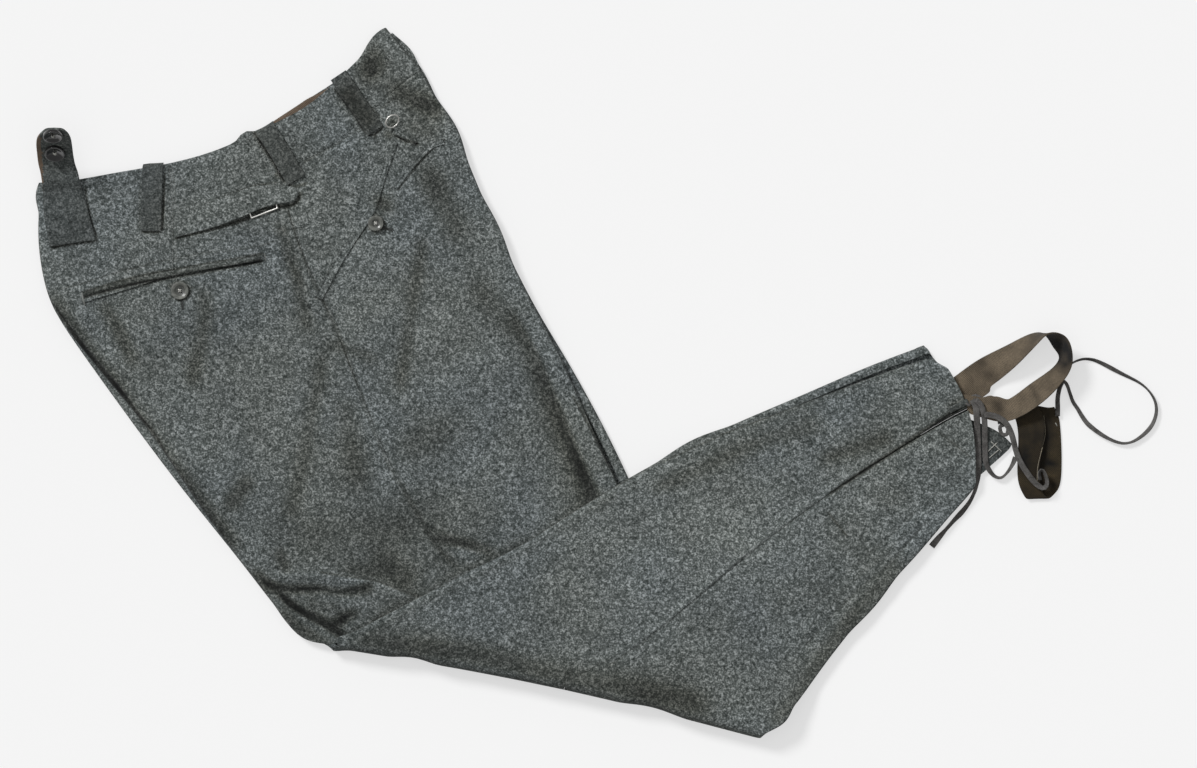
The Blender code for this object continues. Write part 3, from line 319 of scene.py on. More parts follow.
LOWER_LEG_EDGE = (
    (-230, -246), (-197, -238), (-171, -222), (-140, -205), (-127, -199), (-93, -179), (-58, -163),
    (-14, -142), (34, -108), (69, -87), (108, -65), (142, -49), (195, -25), (232, -10), (267, 5), (301, 20),
    (334, 35),
)
# Waves that add up to the soft unevenness of thick cloth: direction, length and start
WAVE_COUNT = 14
SHORTEST_WAVE = 28
LONGEST_WAVE = 95
LUMP_HEIGHT = 0.6
FULL_TURN = 2 * math.pi
wave_seed = np.random.default_rng(11)
WAVES = [(wave_seed.uniform(0, FULL_TURN), wave_seed.uniform(SHORTEST_WAVE, LONGEST_WAVE),
          wave_seed.uniform(0, FULL_TURN)) for _ in range(WAVE_COUNT)]
# How finely a curve is followed, and how far a crease presses beside its line. It fades at both ends, its
# depth waves along it, and it widens from its first point to its last.
CURVE_STEPS = 12
FAR_AWAY = 1e9
CREASE_SPACING = 6.0
WIDEST_MARGIN = 3.5
FADE_REACH = 2.5
SHORTEST_FADE = 1.0
UNEVEN = 0.15
UNEVEN_TURNS = 11.0
UNEVEN_START = 3.0
FIRST_WIDTH = 0.9
WIDENING = 0.2
# How far out from the lower leg's edge the thigh's creases and their shade come in
CREASES_FROM = 0.5
CREASES_WITHIN = 4.0
SHADE_BEFORE = 2.0


def smooth_line(points, spacing):
    """Evenly spaced points on a smooth curve through a line's points."""
    table = np.array(points, dtype=float)
    ends = np.vstack((2 * table[0] - table[1], table, 2 * table[-1] - table[-2]))
    fine = []
    for before, start, end, after in zip(ends, ends[1:], ends[2:], ends[3:]):
        for share in np.linspace(0.0, 1.0, CURVE_STEPS, endpoint=False):
            fine.append(0.5 * (2 * start + (end - before) * share
                               + (2 * before - 5 * start + 4 * end - after) * share ** 2
                               + (3 * start - before - 3 * end + after) * share ** 3))
    fine = np.array(fine + [table[-1]])
    lengths = np.concatenate(([0.0], np.cumsum(np.linalg.norm(np.diff(fine, axis=0), axis=1))))
    marks = np.linspace(0.0, lengths[-1], max(int(round(lengths[-1] / spacing)), 1) + 1)
    return np.column_stack([np.interp(marks, lengths, fine[:, axis]) for axis in range(table.shape[1])])


def beside(line, spots):
    """How far floor points lie from a line, to which side of it, and at what share of its length."""
    steps = np.linalg.norm(np.diff(line, axis=0), axis=1)
    marks = np.concatenate(([0.0], np.cumsum(steps)))
    distance = np.full(len(spots), FAR_AWAY)
    share = np.zeros(len(spots))
    side = np.zeros(len(spots))
    for start, end, step, mark in zip(line, line[1:], steps, marks):
        ahead = (end - start) / step
        offset = spots - start
        run = np.clip(offset @ ahead, 0.0, step)
        gap = np.linalg.norm(offset - run[:, None] * ahead, axis=1)
        nearer = gap < distance
        distance[nearer] = gap[nearer]
        share[nearer] = (mark + run[nearer]) / marks[-1]
        side[nearer] = (ahead[0] * offset[:, 1] - ahead[1] * offset[:, 0])[nearer]
    return distance, np.sign(side), share


def smooth_step(values):
    """Zero to one with soft ends."""
    values = np.clip(values, 0.0, 1.0)
    return values * values * (3.0 - 2.0 * values)


def crease_lift(creases, spots):
    """The height and the shade that the listed creases give at floor points, fading at their ends."""
    lift = np.zeros(len(spots))
    shade = np.zeros(len(spots))
    for height, left, right, darker, line in creases:
        marks = smooth_line(line, CREASE_SPACING)
        margin = WIDEST_MARGIN * max(left, right)
        near = np.all((spots > marks.min(axis=0) - margin) & (spots < marks.max(axis=0) + margin), axis=1)
        if not near.any():
            continue
        distance, side, share = beside(marks, spots[near])
        length = np.linalg.norm(np.diff(marks, axis=0), axis=1).sum()
        fade = min(FADE_REACH * max(left, right) + SHORTEST_FADE, length / 2)
        ends = smooth_step(np.minimum(share, 1.0 - share) * length / fade)
        uneven = 1.0 - UNEVEN + UNEVEN * np.sin(UNEVEN_TURNS * share + UNEVEN_START * left)
        reach = np.where(side > 0, left, right) * (FIRST_WIDTH + WIDENING * share)
        pressed = ends * uneven * np.exp(-(distance / reach) ** 2)
        lift[near] += height * pressed
        shade[near] += darker * pressed
    return lift, shade


def lumps(spots):
    """Soft unevenness of thick cloth at floor points."""
    total = np.zeros(len(spots))
    for turn, length, start in WAVES:
        along = spots[:, 0] * math.cos(turn) + spots[:, 1] * math.sin(turn)
        total += np.sin(FULL_TURN * along / length + start)
    return LUMP_HEIGHT * total / math.sqrt(WAVE_COUNT)


def thigh_lift(spots):
    """The height and shade of the thigh's creases, which end under the lower leg."""
    distance, side, _ = beside(smooth_line(LOWER_LEG_EDGE, CREASE_SPACING), spots)
    clear = smooth_step((distance * side - CREASES_FROM) / CREASES_WITHIN)
    lift, shade = crease_lift(THIGH_CREASES, spots)
    return clear * (lift + lumps(spots)), smooth_step(distance * side + SHADE_BEFORE) * shade


def lower_leg_lift(spots):
    """The height and shade of the lower leg's creases."""
    lift, shade = crease_lift(LOWER_LEG_CREASES, spots)
    return lift + lumps(spots), shade


SAME_PLACE = 0.00001


def merged_copy(node, name):
    """A piece that starts as a node's mesh, with its loose triangles joined into four-sided faces."""
    joined = bmesh.new()
    joined.from_mesh(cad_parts[node].data)
    bmesh.ops.remove_doubles(joined, verts=joined.verts, dist=SAME_PLACE)
    bmesh.ops.join_triangles(joined, faces=joined.faces, angle_face_threshold=math.pi,
                             angle_shape_threshold=math.pi, topology_influence=2.0)
    corners = [vertex.co[:] for vertex in joined.verts]
    faces = [[vertex.index for vertex in face.verts] for face in joined.faces]
    joined.free()
    mesh = bpy.data.meshes.new(name)
    mesh.from_pydata(corners, [], faces)
    piece = bpy.data.objects.new(name, mesh)
    scene.collection.objects.link(piece)
    return piece


def dress(piece, node, materials):
    """Gives a piece its materials, and lets it ride on the garment and stand for its node."""
    for material in materials:
        piece.data.materials.append(material)
    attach(piece, "root")
    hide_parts(node)


def finish(piece, modifier):
    """Applies a modifier."""
    bpy.ops.object.select_all(action="DESELECT")
    bpy.context.view_layer.objects.active = piece
    piece.select_set(True)
    bpy.ops.object.modifier_apply(modifier=modifier.name)


# Angles between faces past which a rim stays sharp in the rounding, and is then worn round
SHARP_RIM = math.radians(62.0)
WORN_RIM = math.radians(55)


def rounded(piece, levels):
    """Rounds a wall of cloth between its cut rims, which stay sharp."""
    mesh = bmesh.new()
    mesh.from_mesh(piece.data)
    crease = mesh.edges.layers.float.new("crease_edge")
    for edge in mesh.edges:
        if edge.calc_face_angle(0.0) > SHARP_RIM:
            edge[crease] = 1.0
    mesh.to_mesh(piece.data)
    mesh.free()
    smoother = piece.modifiers.new("rounding", "SUBSURF")
    smoother.levels = levels
    smoother.render_levels = levels
    finish(piece, smoother)


def soft_rims(piece, width, segments=2):
    """Wears a wall's sharp rims round."""
    painted_light_and_rim_wear = piece.modifiers.new("rims", "BEVEL")
    painted_light_and_rim_wear.width = width * MM
    painted_light_and_rim_wear.segments = segments
    painted_light_and_rim_wear.limit_method = "ANGLE"
    painted_light_and_rim_wear.angle_limit = WORN_RIM
    painted_light_and_rim_wear.use_clamp_overlap = True
    finish(piece, painted_light_and_rim_wear)
    piece.data.shade_smooth()


def read_points(piece):
    """A piece's points in millimetres."""
    points = np.empty(len(piece.data.vertices) * 3)
    piece.data.vertices.foreach_get("co", points)
    return points.reshape(-1, 3) / MM


def write_points(piece, points):
    """Puts back a piece's points, given in millimetres."""
    piece.data.vertices.foreach_set("co", (points * MM).ravel())
    piece.data.update()


# Cloth above the first height takes the upper creases, which come in over the second. Below it the underside
# has shallow hollows, and the painted shade and highlight that darken or pale the cloth stay between two
# shares.
UPPER_FOOT = 6.2
UPPER_RISE = 2.6
LOWER_TOP = 5.2
LOWER_RISE = 2.0
LUMPS_RAISED = 0.1
DEEPEST_HOLLOW = 0.7
DARKEST = -0.88
PALEST = 0.4


def mark_painted_light(piece, shade, edge=0.4):
    """Stores the painted shade and highlight that darken or pale the cloth, with painted shade where it
    turns down at an edge.
    """
    normals = np.empty(len(piece.data.vertices) * 3)
    piece.data.vertex_normals.foreach_get("vector", normals)
    upright = normals.reshape(-1, 3)[:, 2]
    # Turned down, yet not the underside
    turned = smooth_step((0.85 - upright) / 0.6) * smooth_step((upright + 0.9) / 0.5)
    painted_light_and_rim_wear = piece.data.attributes.new("painted_light_and_rim_wear", "FLOAT", "POINT")
    painted_light_and_rim_wear.data.foreach_set("value", np.clip(shade - edge * turned, DARKEST, PALEST))


def crease_cloth(piece, on_thigh, on_lower_leg):
    """Presses the creases into a piece's upper cloth, and slight hollows into its underside."""
    points = read_points(piece)
    spots = points[:, :2]
    lift = np.zeros(len(points))
    shade = np.zeros(len(points))
    for wanted, creases in ((on_thigh, thigh_lift), (on_lower_leg, lower_leg_lift)):
        if wanted:
            more_lift, more_shade = creases(spots)
            lift += more_lift
            shade += more_shade
    upper = smooth_step((points[:, 2] - UPPER_FOOT) / UPPER_RISE)
    hollow = np.clip(lumps(spots) + LUMPS_RAISED, 0.0, DEEPEST_HOLLOW)
    lower = smooth_step((LOWER_TOP - points[:, 2]) / LOWER_RISE)
    points[:, 2] += upper * lift + lower * hollow
    write_points(piece, points)
    # Painted shade and highlight from the creases on the upper cloth, and painted shade where it turns down
    mark_painted_light(piece, upper * shade)


# How near to a narrow crease the cloth is split, and the longest edge that is left there. A wider crease is
# split a little farther out, and one much wider than that edge isn't split.
SPLITS = ((3.2, 3.0), (1.9, 1.6), (1.0, 0.9))
WIDEST_SHARE = 1.6
NARROWEST_BROAD = 3.3
FARTHER_OUT = 0.4
FACING_UP = 0.3
SPLIT_SPACING = 8.0


def refine(piece, creases):
    """Splits the long edges of the upper cloth beside the narrow creases, each time nearer and shorter."""
    for reach, longest in SPLITS:
        mesh = bmesh.new()
        mesh.from_mesh(piece.data)
        edges = [edge for edge in mesh.edges
                 if edge.calc_length() > longest * MM and edge.verts[0].co.z > UPPER_FOOT * MM
                 and edge.link_faces[0].normal.z > FACING_UP]
        middles = np.array([(edge.verts[0].co + edge.verts[1].co)[:2] for edge in edges]) / (2 * MM)
        near = np.zeros(len(edges), dtype=bool)
        for _, left, right, _, line in creases:
            half_width = min(left, right)
            if half_width < min(WIDEST_SHARE * longest, NARROWEST_BROAD):
                distance = beside(smooth_line(line, SPLIT_SPACING), middles)[0]
                near |= distance < reach + FARTHER_OUT * half_width
        split = [edge for edge, wanted in zip(edges, near) if wanted]
        bmesh.ops.subdivide_edges(mesh, edges=split, cuts=1, use_grid_fill=True)
        bmesh.ops.triangulate(mesh, faces=[face for face in mesh.faces if len(face.verts) > 4])
        mesh.to_mesh(piece.data)
        mesh.free()


# Places where the cloth is pushed sideways: x, y, reach, and how far along x and y. Some pushes act only on
# the layers above or below the height between the legs.
KNEE_ROLL = (-220, -236, 34, -2, -6)
LEG_TIP = (-224, -241, 28, 11, 0)
KNEE_CORNER = (-246, -228, 32, -1.6, -2.2)
NEAR_WAIST = ((-163, 326, 30, -3, 5.5), (-291, 236, 14, -2, 5))
FAR_WAIST = (-142, 318, 24, 4, 1)
BOTH_LEGS = (
    (-130, 298, 36, 3, 1), (-94, 240, 36, 2.5, 1), (-50, 150, 40, 3, 0.5), (-486, 180, 20, -4, 0),
    (351, 38, 14, -7, -2), (362, 27, 15, -5, -3), (214, -318, 22, 4, -2), (300, -207, 40, 2.5, -2),
    (92, -305, 36, 0, 3), (-133, -259, 26, 0, 3), (130, -54, 44, -1.5, 3),
)
FLOOR_CLOTH = -50.0
TOP_CLOTH = 90.0
BETWEEN_LEGS = 13.0
PUSH_BLEND = 5.0


def pushed(piece, moves, low=FLOOR_CLOTH, high=TOP_CLOTH):
    """Pushes the cloth between two heights sideways round a few places, softly, to the outline it has."""
    points = read_points(piece)
    above = smooth_step((points[:, 2] - low) / PUSH_BLEND + 0.5)
    below = smooth_step((high - points[:, 2]) / PUSH_BLEND + 0.5)
    for x, y, reach, across, along in moves:
        far = np.hypot(points[:, 0] - x, points[:, 1] - y) / reach
        pull = np.clip(1.0 - far ** 2, 0.0, 1.0) ** 2 * (above * below)
        points[:, 0] += across * pull
        points[:, 1] += along * pull
    write_points(piece, points)


def object_place(material):
    """The place on the piece, in metres, that patterns follow."""
    return add_node(material, "ShaderNodeTexCoord", {}).outputs["Object"]


def noise(material, place, shape):
    """The value of a noise of some scale, detail, roughness or distortion."""
    return add_node(material, "ShaderNodeTexNoise", {"Vector": place, **shape}).outputs["Fac"]


def blended(material, first, second, share):
    """Two values mixed, with a share of the second."""
    return add_node(material, "ShaderNodeMix", {"Factor": share, "A": first, "B": second}).outputs["Result"]


def remapped(material, value, start, end, low, high):
    """A value carried from one range to another."""
    return add_node(material, "ShaderNodeMapRange", {
        "Value": value, "From Min": start, "From Max": end, "To Min": low, "To Max": high}).outputs["Result"]


def coloured(material, value, stops):
    """A value's colour on a ramp of stops, each a position and a colour, with the two end stops first."""
    ramp = add_node(material, "ShaderNodeValToRGB", {"Fac": value})
    made = ramp.color_ramp.elements
    for index, (position, colour) in enumerate(stops):
        stop = made[index] if index < 2 else made.new(position)
        stop.position = position
        stop.color = (*colour, 1.0)
    return ramp.outputs["Color"]


def stored_painted_light(material):
    """The painted shade and highlight that darken or pale the cloth at a place, as marked on its points."""
    return add_node(material, "ShaderNodeAttribute", {}, attribute_name="painted_light_and_rim_wear").outputs["Fac"]


def patchy_with_painted_light(material, colour, patches, unevenness, painted_light_and_rim_wear):
    """A colour that varies in patches, and with the painted shade and highlight."""
    shade = remapped(material, patches, 0.3, 0.7, 1.0 - unevenness, 1.0 + unevenness)
    total = add_node(material, "ShaderNodeMath", {0: shade, 1: painted_light_and_rim_wear}, operation="ADD").outputs["Value"]
    return add_node(material, "ShaderNodeVectorMath", {0: colour, "Scale": total},
                    operation="SCALE").outputs["Vector"]


def relief(material, height, strength, distance):
    """Normals that show a fine relief."""
    return add_node(material, "ShaderNodeBump", {
        "Height": height, "Strength": strength, "Distance": distance}).outputs["Normal"]


def melange_wool(name, dark, grey, pale, mottle=0.13):
    """Felted wool of mixed dark, grey and pale fibres, with short tufts that catch the light."""
    wool = new_material(name)
    place = object_place(wool)
    specks = noise(wool, place, {"Scale": 610.0, "Roughness": 0.6})
    tufts = noise(wool, place, {"Scale": 290.0, "Distortion": 0.6})
    patches = noise(wool, place, {"Scale": 26.0, "Detail": 3.0})
    blend = blended(wool, specks, tufts, 0.42)
    fibres = coloured(wool, blend, ((0.35, dark), (0.68, pale), (0.5, grey)))
    # The colour takes the painted shade and highlight stored on the cloth, as well as its random patches
    painted_light_and_rim_wear = stored_painted_light(wool)
    paint = patchy_with_painted_light(wool, fibres, patches, mottle, painted_light_and_rim_wear)
    # Where the painted shade is deep the colour also turns a little browner, and whole areas lean to blue or
    # to brown
    hollow = remapped(wool, painted_light_and_rim_wear, 0.0, -0.45, 0.0, 1.0)
    browner = coloured(wool, hollow, ((0.0, (1.0, 1.0, 1.0)), (1.0, (1.03, 1.0, 0.92))))
    areas = noise(wool, place, {"Scale": 9.0})
    hues = coloured(wool, areas, ((0.38, (0.985, 0.996, 1.012)), (0.62, (1.02, 1.004, 0.965))))
    for tint in (browner, hues):
        paint = add_node(wool, "ShaderNodeVectorMath", {0: paint, 1: tint},
                         operation="MULTIPLY").outputs["Vector"]
    return finish_with(wool, {
        "Base Color": paint, "Normal": relief(wool, blend, 0.7, 0.0007), "Roughness": 0.95,
        "Specular IOR Level": 0.15, "Sheen Weight": 0.12, "Sheen Roughness": 0.6,
        "Sheen Tint": (0.8, 0.85, 0.86, 1.0)})


WOOL = melange_wool("melange_wool", (0.02, 0.0245, 0.0235), (0.086, 0.098, 0.0965), (0.335, 0.362, 0.368))

inner_cloth = merged_copy("hidden_layers", "inner_leg_cloth")
rounded(inner_cloth, levels=1)
pushed(inner_cloth, BOTH_LEGS)
pushed(inner_cloth, (KNEE_ROLL, KNEE_CORNER), high=BETWEEN_LEGS)
pushed(inner_cloth, (LEG_TIP,), low=BETWEEN_LEGS)
crease_cloth(inner_cloth, True, True)
inner_cloth.data.shade_smooth()
dress(inner_cloth, "hidden_layers", [WOOL])

# Leg panels and waistbands: four long panels of 2 mm melange wool, cut with the grain down the leg and
# sewn together at the side seams. The fronts end under a band of the same cloth.
PANELS = (
    # node, piece, creased on the thigh, on the lower leg, width and length of the cut, its area
    ("left_back_panel", "left_back_cloth", False, True, 0.285, 1.22, 0.181),
    ("left_front_panel", "left_front_cloth", False, True, 0.245, 1.17, 0.164),
    ("right_back_panel", "right_back_cloth", True, False, 0.285, 1.20, 0.176),
    ("right_front_panel", "right_front_cloth", True, False, 0.245, 1.15, 0.155),
    ("left_waistband", "left_waistband_cloth", False, False, 0.05, 0.16, 0.0073),
    ("right_waistband", "right_waistband_cloth", True, False, 0.05, 0.16, 0.0072),
)
CLOTH_ROUNDING = 3
PANEL_RIMS = 0.6
cloth_under = []
for node, name, on_thigh, on_lower_leg, *_ in PANELS:
    panel = merged_copy(node, name)
    rounded(panel, CLOTH_ROUNDING)
    if on_thigh:
        pushed(panel, (KNEE_ROLL, KNEE_CORNER, *BOTH_LEGS, *NEAR_WAIST))
    else:
        pushed(panel, (*BOTH_LEGS, FAR_WAIST))
        pushed(panel, (KNEE_ROLL, KNEE_CORNER), high=BETWEEN_LEGS)
        pushed(panel, (LEG_TIP,), low=BETWEEN_LEGS)
    if on_thigh or on_lower_leg:
        refine(panel, THIGH_CREASES if on_thigh else LOWER_LEG_CREASES)
    crease_cloth(panel, on_thigh, on_lower_leg)
    soft_rims(panel, PANEL_RIMS)
    dress(panel, node, [WOOL])
    cloth_under.append(panel)

# Waist lining: brown cotton twill that faces the waist inside. Only its edge shows, beyond the far waist.
# At this scale of the wave pattern the diagonal ridges of the twill come about 1.3 mm apart.
TWILL_SCALE = 0.314 / (0.9 * MM)


def cotton_twill(name, dark, pale, patch=0.16):
    """Cotton woven in a fine diagonal, faded unevenly."""
    twill = new_material(name)
    place = object_place(twill)
    ridges = add_node(twill, "ShaderNodeTexWave", {
        "Vector": place, "Scale": TWILL_SCALE, "Distortion": 0.8, "Detail": 1.0},
        bands_direction="DIAGONAL").outputs["Fac"]
    fade = noise(twill, place, {"Scale": 70.0, "Detail": 4.0})
    slub = noise(twill, place, {"Scale": 900.0, "Detail": 1.0})
    yarn = blended(twill, ridges, slub, 0.5)
    colours = coloured(twill, yarn, ((0.2, dark), (0.8, pale)))
    # The colour takes the painted shade and highlight stored on the cloth, as well as its faded patches
    return finish_with(twill, {
        "Base Color": patchy_with_painted_light(twill, colours, fade, patch, stored_painted_light(twill)),
        "Normal": relief(twill, yarn, 0.6, 0.0003), "Roughness": 0.85,
        "Specular IOR Level": 0.25, "Sheen Weight": 0.1})


LINING = cotton_twill("lining_cotton", (0.05, 0.035, 0.024), (0.17, 0.125, 0.09))
LINING_OUT = ((-264, 247, 34, -1.5, 3),)
lining = merged_copy("waist_lining", "waist_lining_cloth")
rounded(lining, levels=2)
pushed(lining, LINING_OUT)
lining.data.shade_smooth()
dress(lining, "waist_lining", [LINING])

# Sewing thread: the seams are lockstitched in grey thread that has sunk into the wool. Each row lies on
# the cloth under it, every stitch a short arched thread.
def swept(points, outline, turns=None):
    """Corners and faces of an outline carried along points, turned about them, with closed ends."""
    points = [Vector(point) for point in points]
    corners = []
    faces = []
    count = len(outline)
    for index, point in enumerate(points):
        ahead = (points[min(index + 1, len(points) - 1)] - points[max(index - 1, 0)]).normalized()
        level = ahead.cross(Vector((0.0, 0.0, 1.0))).normalized()
        upright = level.cross(ahead)
        turn = turns[index] if turns else 0.0
        side = level * math.cos(turn) + upright * math.sin(turn)
        up = upright * math.cos(turn) - level * math.sin(turn)
        corners += [point + side * across + up * rise for across, rise in outline]
        if index:
            last = (index - 1) * count
            for k in range(count):
                there = (k + 1) % count
                faces.append((last + k, last + there, last + count + there, last + count + k))
    faces.append(tuple(range(count - 1, -1, -1)))
    faces.append(tuple(range(len(corners) - count, len(corners))))
    return corners, faces


def round_outline(radius, sides):
    """A thread's round outline."""
    return [(radius * math.cos(FULL_TURN * k / sides), radius * math.sin(FULL_TURN * k / sides))
            for k in range(sides)]


def new_piece(name, shells, material):
    """A piece made of closed shells of corners and faces, riding on the garment."""
    corners = []
    faces = []
    for shell_corners, shell_faces in shells:
        start = len(corners)
        corners += [corner[:] for corner in shell_corners]
        faces += [tuple(start + k for k in face) for face in shell_faces]
    mesh = bpy.data.meshes.new(name)
    mesh.from_pydata([(x * MM, y * MM, z * MM) for x, y, z in corners], [], faces)
    shell = bmesh.new()
    shell.from_mesh(mesh)
    bmesh.ops.recalc_face_normals(shell, faces=shell.faces)
    shell.to_mesh(mesh)
    shell.free()
    mesh.shade_smooth()
    mesh.materials.append(material)
    piece = bpy.data.objects.new(name, mesh)
    scene.collection.objects.link(piece)
    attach(piece, "root")
    return piece


def tree_of(pieces):
    """The faces of some pieces together, for finding what lies under a point."""
    corners = []
    faces = []
    for piece in pieces:
        start = len(corners)
        corners += [vertex.co / MM for vertex in piece.data.vertices]
        faces += [[start + k for k in face.vertices] for face in piece.data.polygons]
    return BVHTree.FromPolygons(corners, faces)


ABOVE_ALL = 200.0


def rest_height(tree, x, y, otherwise=0.0):
    """The height of what lies under a floor point."""
    hit = tree.ray_cast(Vector((x, y, ABOVE_ALL)), Vector((0.0, 0.0, -1.0)))[0]
    return otherwise if hit is None else hit.z


STITCH_LENGTH = 2.4
STITCH_PITCH = 3.3
STITCH_RADIUS = 0.24
STITCH_SINK = 0.12
STITCH_SIDES = 5
STITCH_STEPS = (0.0, 0.3, 0.7, 1.0)
STITCH_RISES = (-STITCH_RADIUS, STITCH_RADIUS - STITCH_SINK, STITCH_RADIUS - STITCH_SINK, -STITCH_RADIUS)


def stitched(name, lines, thread, tree):
    """Rows of stitches on lines across the cloth."""
    shells = []
    for line in lines:
        marks = smooth_line(line, STITCH_PITCH)
        for start, end in zip(marks, marks[1:]):
            run = [start + (end - start) * (STITCH_LENGTH / STITCH_PITCH) * step for step in STITCH_STEPS]
            points = [(x, y, rest_height(tree, x, y) + rise) for (x, y), rise in zip(run, STITCH_RISES)]
            shells.append(swept(points, round_outline(STITCH_RADIUS, STITCH_SIDES)))
    return new_piece(name, shells, thread)


def plain_thread(name, colour):
    """Twisted sewing thread, a little uneven in colour."""
    thread = new_material(name)
    twist = noise(thread, object_place(thread), {"Scale": 1200.0})
    dark = [0.6 * part for part in colour]
    pale = [1.3 * part for part in colour]
    return finish_with(thread, {"Base Color": coloured(thread, twist, ((0.3, dark), (0.7, pale))),
                                "Roughness": 0.7})


GREY_THREAD = plain_thread("grey_thread", (0.2, 0.21, 0.2))
DARK_THREAD = plain_thread("dark_thread", (0.045, 0.05, 0.048))
cloth_tree = tree_of(cloth_under)
DART_ROWS = (((-363, 206), (-360, 181), (-359, 146), (-359, 108), (-358, 94)),
             ((-360, 207), (-357, 181), (-356, 146), (-356, 108), (-355, 94)))
SIDE_SEAM_ROWS = (((-251, 165), (-243, 148), (-237, 127), (-222, 91), (-204, 57), (-183, -1), (-156, -70),
                   (-114, -143), (-92, -172)),)
LOOP_SEAM_ROWS = (((-290, 234), (-280, 216), (-272, 194)), ((-286, 235), (-276, 217), (-268, 194)),
                  ((-283, 236), (-272, 218), (-264, 195)))
VENT_ROWS = (((334, -60), (345, -53), (367, -38), (386, -24)),
             ((330, -51), (341, -44), (363, -29), (382, -15)))
POCKET_ROWS = (((-464, 90), (-444, 96), (-406, 108), (-365, 115), (-341, 120), (-285, 129), (-267, 134)),)
SHORT_ROWS = (((255, -118), (265, -131), (276, -143)), ((361, -44), (378, -57), (394, -70)),
              ((-250, 146), (-242, 148), (-234, 149)))
pale_rows = stitched("pale_stitch_rows", DART_ROWS + LOOP_SEAM_ROWS, GREY_THREAD, cloth_tree)
dark_rows = stitched("dark_stitch_rows", SIDE_SEAM_ROWS + VENT_ROWS + POCKET_ROWS + SHORT_ROWS, DARK_THREAD,
                     cloth_tree)

# Belt loops, centre-back tab and side cinch strap: doubled straps, turned out and pressed, sewn down at both
# ends. The loops and the tab are of a darker, closer wool, and the cinch strap is of the body's wool.
LOOP_WOOL = melange_wool("strap_wool", (0.0165, 0.0192, 0.0184), (0.054, 0.061, 0.0595),
                         (0.157, 0.168, 0.165), 0.1)
LOWEST_DIP = -0.6
STRAP_EDGE_SHADE = 0.3
BROAD_REACH = 3.0


def dressed_copy(node, name, material, creases, rims=0.7, moves=()):
    """A piece rounded from its node's mesh, creased, and lifted with the cloth under it."""
    piece = merged_copy(node, name)
    rounded(piece, CLOTH_ROUNDING)
    pushed(piece, moves)
    points = read_points(piece)
    height, shade = creases(points[:, :2])
    points[:, 2] += np.maximum(height, LOWEST_DIP)
    write_points(piece, points)
    # Painted shade and highlight from the creases, and painted shade where the piece turns down at its edges
    mark_painted_light(piece, shade, STRAP_EDGE_SHADE)
    soft_rims(piece, rims)
    dress(piece, node, [material])
    return piece


def broad_creases(spots):
    """The height of the thigh's creases, with the shade of the broad ones alone."""
    lift = thigh_lift(spots)[0]
    shade = crease_lift([row for row in THIGH_CREASES if min(row[1:3]) > BROAD_REACH], spots)[1]
    return lift, shade


# A painted highlight on the raised tongue of the tab
TONGUE_LIGHT = ((0.0, 26.0, 26.0, 0.5, ((-472, 290), (-468, 228), (-462, 166))),)


def tab_creases(spots):
    """The same for the tab, with a painted highlight on its raised tongue."""
    lift, shade = broad_creases(spots)
    return lift, shade + crease_lift(TONGUE_LIGHT, spots)[1]


BACK_LOOP_END = ((-379, 214, 36, 0, -4),)
SIDE_LOOP_END = ((-276, 252, 36, 2, -5),)
STRAPS = (
    # node, piece, material, creases, where its end is pushed, width and length of the cut, its area
    ("belt_loop_back", "belt_loop_back_wool", LOOP_WOOL, broad_creases, BACK_LOOP_END, 0.02, 0.08, 0.00159),
    ("belt_loop_side", "belt_loop_side_wool", LOOP_WOOL, broad_creases, SIDE_LOOP_END, 0.02, 0.08, 0.00151),
    ("belt_loop_front", "belt_loop_front_wool", LOOP_WOOL, broad_creases, (), 0.018, 0.07, 0.00121),
    ("centre_back_tab", "centre_back_tab_wool", LOOP_WOOL, tab_creases, (), 0.044, 0.13, 0.00497),
    ("side_cinch_strap", "side_cinch_strap_wool", WOOL, broad_creases, (), 0.028, 0.12, 0.00294),
)
straps = {}
for node, name, material, creases, moves, width, length, area in STRAPS:
    strap = dressed_copy(node, name, material, creases, moves=moves)
    straps[node] = strap

# The tongue of the tab is faced with the brown lining, which shows along its left edge
FACING_EDGE = -480.5
FACING_END = 236
FACING_FOOT = 13.0
tab = straps["centre_back_tab"]
tab.data.materials.append(LINING)
for face in tab.data.polygons:
    centre = face.center / MM
    if centre.z > FACING_FOOT and centre.x < FACING_EDGE and centre.y < FACING_END:
        face.material_index = 1

# Pocket edges: welts and turned edges of the same wool, stitched down beside the pocket mouths. The strip
# between the two lines of the back pocket is the welt's turned edge, darkened with painted shade from the
# thigh's creases.
WELTS = (
    # node, piece, creases
    ("back_pocket_welt", "back_pocket_welt_wool", thigh_lift),
    ("front_pocket_edge", "front_pocket_edge_wool", broad_creases),
    ("flap_edge", "flap_edge_wool", broad_creases),
    ("watch_pocket_welt", "watch_pocket_welt_wool", thigh_lift),
)
welts = [dressed_copy(node, name, WOOL, creases, rims=0.5) for node, name, creases in WELTS]

# Buttonholes and bar tacks: bars of thread laid close beside each other over the cloth.
THREAD_SPACING = 1.5
THREAD_SINK = 0.1


def laid_thread(name, lines, thread, tree, radius=0.4):
    """Threads that lie on what is under them along lines."""
    shells = []
    for line in lines:
        marks = smooth_line(line, THREAD_SPACING)
        points = [(x, y, rest_height(tree, x, y) + radius - THREAD_SINK) for x, y in marks]
        shells.append(swept(points, round_outline(radius, 8)))
    return new_piece(name, shells, thread)


